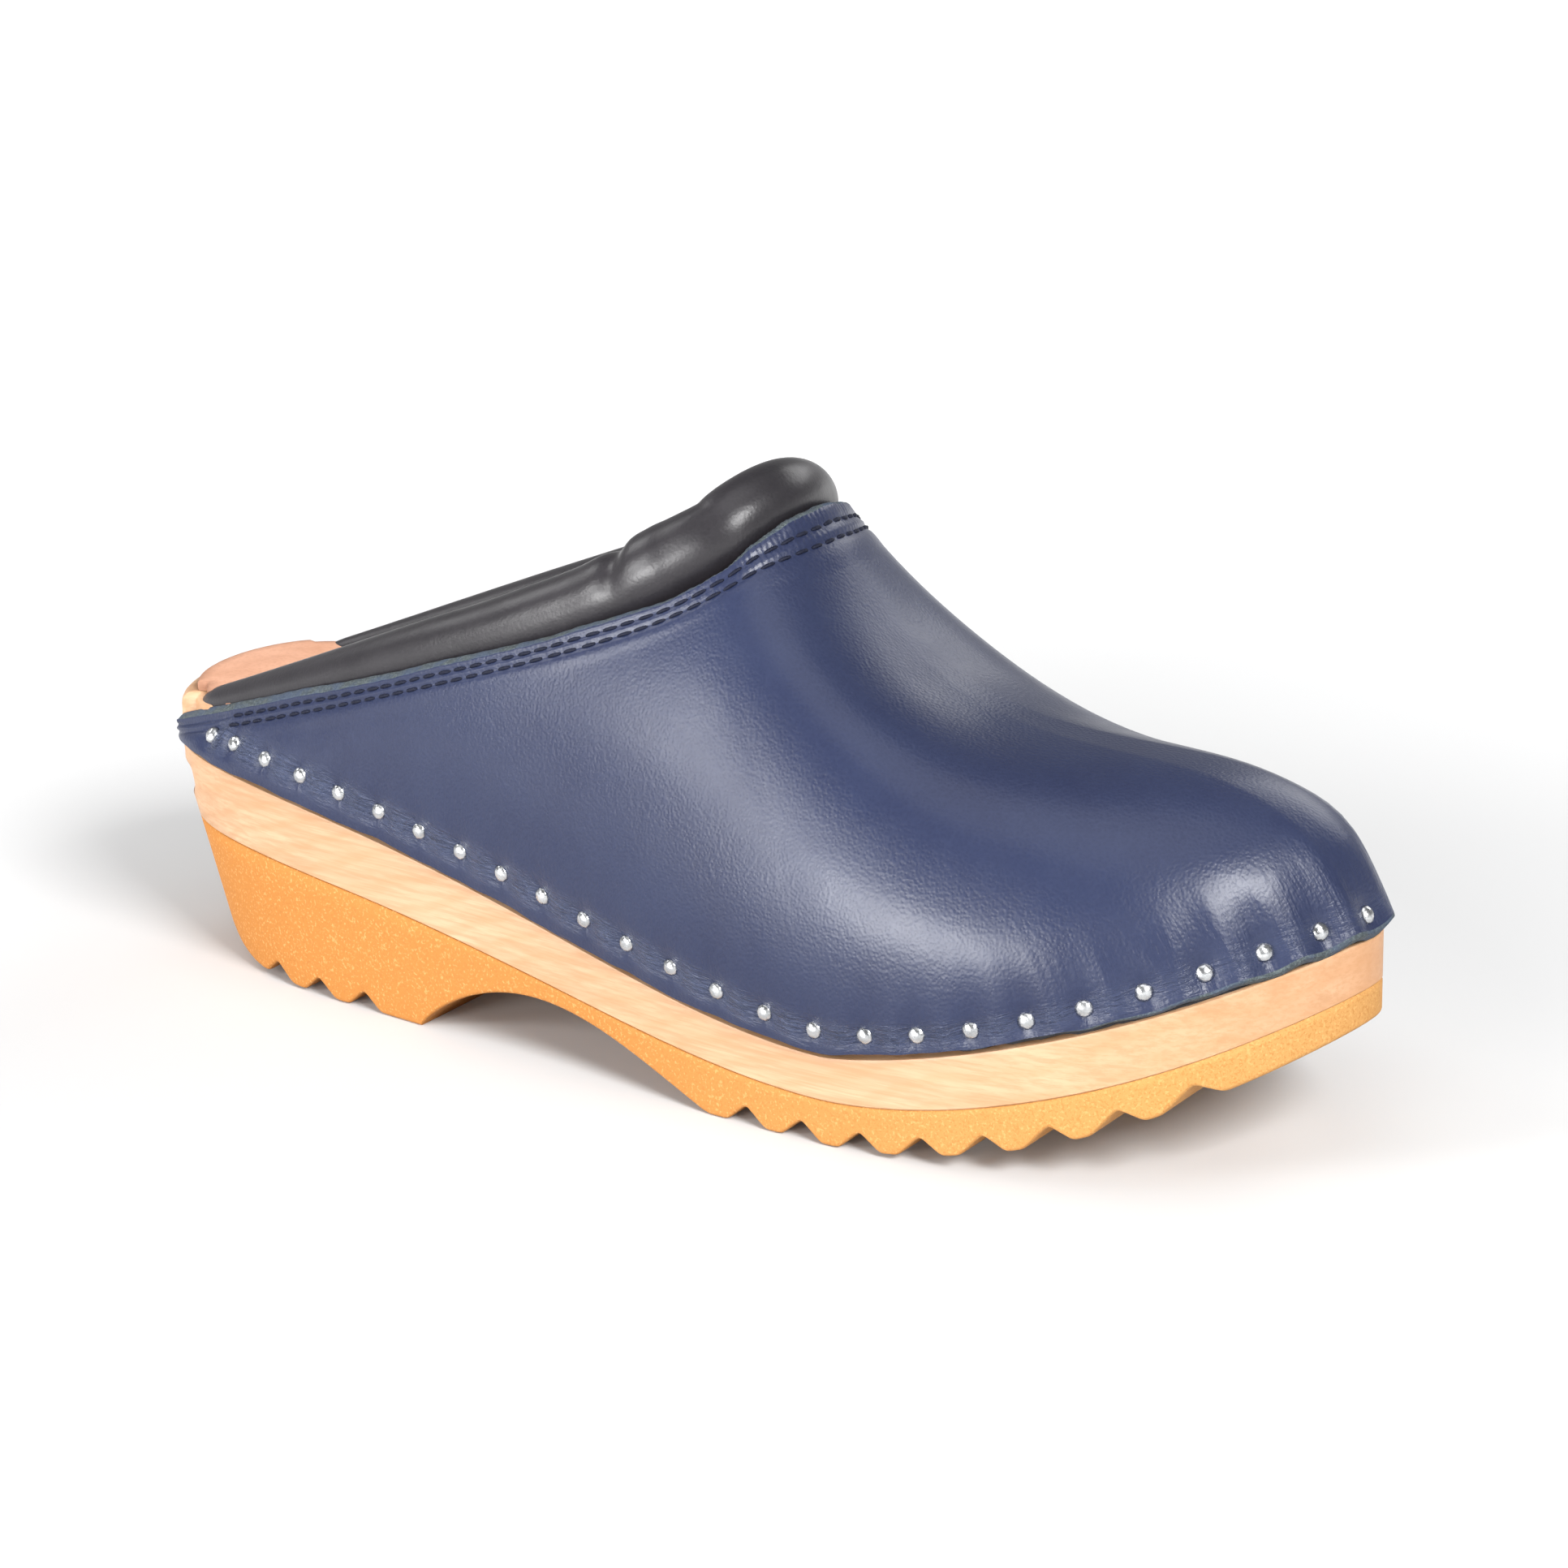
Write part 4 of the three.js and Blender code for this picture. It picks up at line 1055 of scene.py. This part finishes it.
def navy_leather():
    """Smooth navy leather: fine pebble grain, faint clouding, folds pulled by the nails, and painted
    glints, a lighter colour along the wrinkles between the nails.
    """
    n = Nodes("navy_leather", Specular_IOR_Level=0.29, Coat_Weight=0.12, Coat_Roughness=0.22)
    clouds = n.noise(38, 4, 0.6)
    colour = n.ramp(clouds, (0.3, (0.01, 0.014, 0.04)), (0.7, (0.015, 0.021, 0.052)))
    grain = n.cells(1700, "SMOOTH_F1")
    fine = n.noise(2600, 3, 0.6)
    colour = n.tint(colour, grain, (0.0, 0.0), (0.75, 0.35), (0.023, 0.031, 0.07))
    toward = n.attribute("wrinkle")
    # Painted glints: a lighter blue along the wrinkles between the nails stands in for their highlights.
    painted_glints = n.math("MULTIPLY", toward, n.noise(420, 3, 0.7), clamp=True)
    colour = n.mix(n.math("MULTIPLY", painted_glints, 0.8), colour, (0.08, 0.1, 0.17))

    along, above = n.attribute("along_mm"), n.attribute("above_nail_mm")
    lines = n.add("CombineXYZ", {"X": n.math("MULTIPLY", along, 0.16), "Y": above})
    creases = n.noise(1.5, 3, 0.65, lines.outputs[0], 0.4)
    folds = n.add("CombineXYZ", {"X": along, "Y": n.math("MULTIPLY", above, 0.14)})
    pulls = n.noise(0.5, 3, 0.6, folds.outputs[0], 0.3)

    normal = n.bump(fine, 0.12, 0.0001)
    normal = n.bump(grain, 0.5, 0.00013, normal)
    normal = n.bump(n.noise(150, 3, 0.5), 0.1, 0.0004, normal)
    normal = n.bump(n.math("MULTIPLY", creases, toward), 1.0, 0.002, normal)
    normal = n.bump(n.math("MULTIPLY", pulls, n.attribute("pull")), 0.35, 0.0011, normal)
    rough = n.ramp(n.noise(90, 4, 0.6), (0.3, 0.34), (0.7, 0.42))
    return n.finish(colour, rough, normal)


def cut_leather():
    """Cut leather edge: grey-green fibres, rough and grainy."""
    n = Nodes("cut_leather_edge")
    fibres = n.noise(1900, 4, 0.75)
    colour = n.ramp(fibres, (0.3, (0.016, 0.022, 0.026)), (0.5, (0.043, 0.056, 0.062)),
                    (0.72, (0.12, 0.145, 0.145)))
    colour = n.tint(colour, n.noise(240, 2), (0.4, 0.0), (0.65, 0.6), (0.03, 0.05, 0.1))
    normal = n.bump(fibres, 0.7, 0.0003)
    return n.finish(colour, n.ramp(fibres, (0.2, 0.75), (0.8, 0.95)), normal)


def flesh_leather():
    """Back of the leather: dark, napped."""
    colours = (0.3, (0.016, 0.02, 0.035)), (0.7, (0.04, 0.05, 0.075))
    return fibrous("leather_flesh_side", (1300, 4, 0.7), colours, ((0.2, 0.8), (0.8, 0.95)))


def black_lining():
    """Thin black lining leather with a felted nap."""
    colours = (0.3, (0.008, 0.008, 0.01)), (0.72, (0.026, 0.026, 0.03))
    return fibrous("black_lining", (1500, 4, 0.7), colours, ((0.2, 0.7), (0.8, 0.92)))


def collar_leather():
    """Soft charcoal collar leather with a satin finish and fine grain."""
    n = Nodes("collar_leather", Specular_IOR_Level=0.4)
    colour = n.ramp(n.noise(60, 4, 0.6), (0.3, (0.011, 0.01, 0.012)), (0.7, (0.018, 0.016, 0.019)))
    grain = n.cells(1700, "SMOOTH_F1")
    colour = n.tint(colour, grain, (0.1, 0.0), (0.8, 0.3), (0.026, 0.023, 0.027))
    normal = n.bump(n.noise(3200, 3, 0.6), 0.12, 0.0001)
    normal = n.bump(grain, 0.28, 0.00009, normal)
    normal = n.bump(n.noise(120, 3), 0.2, 0.0005, normal)
    return n.finish(colour, n.ramp(n.noise(140, 4, 0.6), (0.3, 0.32), (0.7, 0.4)), normal)


# Small knots in the wood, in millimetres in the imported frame: place and radius
KNOTS = (
    (70.0, -42.0, 12.5, 0.8),
    (12.0, -40.5, 26.5, 0.45),
    (-112.0, -27.0, 36.5, 0.9),
    (-104.0, -29.5, 33.5, 0.7),
    (-121.0, -20.0, 47.0, 0.6),
    (-60.0, 33.0, 34.0, 0.8),
    (55.0, 41.5, 20.0, 0.7),
)


def pale_wood():
    """Pale sanded wood: slanting growth bands, fine pores, small knots, warmer on the end grain."""
    n = Nodes("pale_wood", Specular_IOR_Level=0.4)
    streaks = n.noise(1.0, 4, 0.62, n.place((22, 210, 420), (0, 14, 4)))
    curve = {"Scale": 62, "Distortion": 5.5, "Detail": 3, "Detail Scale": 0.7}
    curve["Vector"] = n.place((1, 1, 1), (0, 20, 8))
    bands = n.add("TexWave", curve, wave_type="BANDS", bands_direction="Z", wave_profile="SIN")
    base = n.ramp(streaks, (0.3, (0.39, 0.228, 0.122)), (0.52, (0.46, 0.284, 0.168)),
                  (0.75, (0.51, 0.33, 0.205)))
    base = n.tint(base, bands.outputs["Fac"], (0.55, 0.0), (0.95, 0.3), (0.4, 0.2, 0.088))
    base = n.tint(base, n.noise(14, 2, 0.5), (0.45, 0.0), (0.75, 0.35), (0.48, 0.265, 0.135))
    fine = n.noise(1.0, 3, 0.7, n.place((40, 700, 1300), (0, 16, 5)))
    base = n.tint(base, fine, (0.4, 0.5), (0.56, 0.0), (0.36, 0.19, 0.09))
    pores = n.cells(1.0, "F1", n.place((160, 900, 1500), (0, 14, 4)))
    base = n.tint(base, pores, (0.0, 0.35), (0.16, 0.0), (0.45, 0.24, 0.1))

    facing = n.add("SeparateXYZ", {0: n.add("NewGeometry").outputs["Normal"]})
    end = n.ramp(n.math("ABSOLUTE", facing.outputs["X"]), (0.35, 0.0), (0.95, 0.55))
    patch = n.ramp(n.noise(55, 3), (0.35, 0.4), (0.65, 1.0))
    base = n.mix(n.math("MULTIPLY", end, patch), base, (0.44, 0.21, 0.09))

    for x, y, z, radius in KNOTS:
        knot = (x * MM, y * MM, z * MM)
        away = n.add("VectorMath", {0: n.place(), 1: knot}, operation="DISTANCE").outputs["Value"]
        away = n.math("DIVIDE", away, radius * MM)
        base = n.tint(base, away, (0.35, 0.85), (1.0, 0.0), (0.3, 0.13, 0.04))

    normal = n.bump(n.noise(900, 3), 0.08, 0.0002, n.bump(streaks, 0.12, 0.0003))
    return n.finish(base, n.ramp(streaks, (0.3, 0.42), (0.7, 0.58)), normal)


def ochre_rubber():
    """Ochre foam rubber, finely speckled, paler to the toe."""
    n = Nodes("ochre_rubber", Specular_IOR_Level=0.3)
    x = n.add("SeparateXYZ", {0: n.place()}).outputs["X"]
    toe = n.add("MapRange", {"Value": x, "From Min": -0.13, "From Max": 0.12})
    base = n.ramp(toe.outputs["Result"], (0.0, (0.39, 0.152, 0.029)), (0.5, (0.4, 0.16, 0.034)),
                  (1.0, (0.44, 0.228, 0.07)))
    speck = n.noise(2100, 2, 0.6)
    base = n.tint(base, speck, (0.36, 0.55), (0.5, 0.0), (0.33, 0.125, 0.022))
    base = n.tint(base, n.noise(1700, 2, 0.5), (0.55, 0.0), (0.7, 0.45), (0.64, 0.37, 0.14))
    base = n.tint(base, n.noise(30, 3), (0.4, 0.0), (0.7, 0.18), (0.4, 0.16, 0.032))
    normal = n.bump(speck, 0.3, 0.0002)
    return n.finish(base, n.ramp(speck, (0.2, 0.7), (0.8, 0.88)), normal)


def tan_insole():
    """Salmon-tan insole leather with a dark rubbed edge."""
    n = Nodes("tan_insole", Specular_IOR_Level=0.35)
    base = n.ramp(n.noise(120, 5, 0.65), (0.3, (0.56, 0.29, 0.18)), (0.7, (0.68, 0.37, 0.245)))
    base = n.tint(base, n.noise(1400, 3), (0.35, 0.3), (0.55, 0.0), (0.45, 0.22, 0.13))
    edge = n.math("MULTIPLY", n.attribute("rim"), n.math("ADD", n.noise(300, 3), 0.35), clamp=True)
    base = n.mix(edge, base, (0.2, 0.09, 0.05))
    normal = n.bump(n.noise(1500, 4, 0.65), 0.3, 0.00015)
    return n.finish(base, n.ramp(n.noise(200, 3), (0.3, 0.5), (0.7, 0.64)), normal)


def nail_steel():
    """Bright nail steel, lightly hammered."""
    n = Nodes("nail_steel", Metallic=1.0)
    dents = n.noise(900, 2)
    colour = n.ramp(n.noise(500, 3), (0.3, (0.42, 0.43, 0.44)), (0.7, (0.66, 0.67, 0.68)))
    return n.finish(colour, n.ramp(dents, (0.3, 0.2), (0.7, 0.36)), n.bump(dents, 0.5, 0.0003))


def navy_thread():
    """Dark waxed thread with a twist."""
    colours = (0.3, (0.003, 0.004, 0.01)), (0.7, (0.011, 0.013, 0.028))
    roughness = (0.2, 0.5), (0.8, 0.7)
    return fibrous("navy_thread", (2800, 3, 0.6), colours, roughness, Specular_IOR_Level=0.15)


def studio_floor():
    """Plain pale floor with a faint glow that grows away from the clog, as under a lit sweep."""
    n = Nodes("studio_floor", Roughness=0.9, Emission_Strength=1.0)
    away = n.add("VectorMath", {0: n.place()}, operation="LENGTH").outputs["Value"]
    n.tree.links.new(n.ramp(away, (0.15, 0.02), (0.8, 1.0)), n.shader.inputs["Emission Color"])
    return n.finish(n.ramp(n.noise(3, 2), (0.3, 0.55), (0.7, 0.57)))


# ---- pieces

def dress(piece, slot, *nodes):
    """Hangs a piece on the body and hides the CAD nodes it stands for; the slot is not used."""
    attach(piece, "root")
    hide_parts(*nodes)


dress(build_upper(navy_leather(), cut_leather(), flesh_leather()), "upper_leather", "upper")
dress(build_lining(black_lining()), "lining_leather", "lining")
dress(build_wood(pale_wood()), "wood", "wooden_sole")
dress(build_outsole(ochre_rubber()), "outsole_rubber", "outsole")
dress(build_insole(tan_insole()), "insole_leather", "insole")
collar = build_collar(collar_leather())
dress(collar, "collar_leather", "collar_leather", "collar_foam")
thread = navy_thread()
for row, below in enumerate(STITCH_ROWS, 1):
    dress(build_stitches(f"stitches_{row}", below, thread), "thread", f"stitch_row_{row}")
steel = nail_steel()
for number in range(1, len(NAIL_S) + 1):
    dress(build_nail(number, steel), "nail_steel", f"nail_{number:02d}")


# ---- studio

FLOOR_REACH = 4000.0
# Lights: degrees round and up, distance, width and height in metres, and power in watts
LIGHTS = {
    "left_softbox": (-12, 5, 1.3, (0.5, 0.3), 18),
    "upper_left_softbox": (-34, 20, 1.3, (0.32, 0.4), 8),
    "right_softbox": (63, 35, 1.3, (0.45, 0.42), 24),
    "side_softbox": (-86, 36, 1.3, (0.5, 0.3), 2.5),
    "back_softbox": (172, 30, 1.4, (0.9, 0.5), 5),
    "top_softbox": (-10, 80, 1.6, (1.2, 1.2), 8),
}
LIGHT_TARGET = Vector((0, 0, 0.05))

# Camera: angles in degrees, distance and target in metres, lens and sensor in millimetres
CAMERA_AZIMUTH = 34.2
CAMERA_ELEVATION = 18.0
CAMERA_ROLL = -1.3
CAMERA_DISTANCE = 0.83
CAMERA_TARGET = Vector((-0.0019, 0.0128, 0.045))
CAMERA_LENS = 98.2
CAMERA_SENSOR = 36.0


def outward(azimuth, elevation):
    """A direction away from the clog, in degrees round from its outer side towards the toe, and up."""
    a, e = math.radians(azimuth), math.radians(elevation)
    return Vector((math.sin(a) * math.cos(e), -math.cos(a) * math.cos(e), math.sin(e)))


def build_floor():
    corners = ((-1, -1), (1, -1), (1, 1), (-1, 1))
    points = [(x * FLOOR_REACH, y * FLOOR_REACH, 0) for x, y in corners]
    floor = add_mesh("studio_floor", points, [(0, 1, 2, 3)], [studio_floor()])


def add_light(name, azimuth, elevation, distance, size, power):
    """A soft rectangular light that faces the clog."""
    back = outward(azimuth, elevation)
    light = bpy.data.lights.new(name, "AREA")
    light.shape = "RECTANGLE"
    light.size, light.size_y = size
    light.energy = power
    lamp = bpy.data.objects.new(name, light)
    lamp.location = back * distance + LIGHT_TARGET
    lamp.rotation_mode = "QUATERNION"
    lamp.rotation_quaternion = back.to_track_quat("Z", "Y")
    bpy.context.scene.collection.objects.link(lamp)


def build_world():
    """A pale surround, bright at the horizon and dimmer overhead."""
    world = bpy.data.worlds.new("studio")
    bpy.context.scene.world = world
    world.use_nodes = True
    tree = world.node_tree
    direction = tree.nodes.new("ShaderNodeTexCoord")
    split = tree.nodes.new("ShaderNodeSeparateXYZ")
    ramp = tree.nodes.new("ShaderNodeValToRGB")
    elements = ramp.color_ramp.elements
    elements[0].position, elements[0].color = 0.0, (1, 1, 1, 1)
    elements[1].position, elements[1].color = 0.6, (0.4, 0.403, 0.41, 1)
    tree.links.new(direction.outputs["Generated"], split.inputs[0])
    tree.links.new(split.outputs["Z"], ramp.inputs["Fac"])
    tree.links.new(ramp.outputs["Color"], tree.nodes["Background"].inputs["Color"])
    tree.nodes["Background"].inputs["Strength"].default_value = 0.5


def build_camera():
    """The camera, at its distance from the target and rolled a little."""
    azimuth, roll = math.radians(CAMERA_AZIMUTH), math.radians(CAMERA_ROLL)
    back = outward(CAMERA_AZIMUTH, CAMERA_ELEVATION)
    right = Vector((math.cos(azimuth), math.sin(azimuth), 0))
    up = back.cross(right)
    turned_right = right * math.cos(roll) + up * math.sin(roll)
    turned_up = up * math.cos(roll) - right * math.sin(roll)
    camera = bpy.data.cameras.new("camera")
    camera.lens = CAMERA_LENS
    camera.sensor_width = CAMERA_SENSOR
    holder = bpy.data.objects.new("camera", camera)
    turn = Matrix((turned_right, turned_up, back)).transposed().to_4x4()
    place = CAMERA_TARGET + back * CAMERA_DISTANCE
    holder.matrix_world = Matrix.Translation(place) @ turn
    bpy.context.scene.collection.objects.link(holder)
    bpy.context.scene.camera = holder


build_floor()
build_world()
for name, settings in LIGHTS.items():
    add_light(name, *settings)
build_camera()
bpy.context.scene.view_settings.view_transform = "Standard"
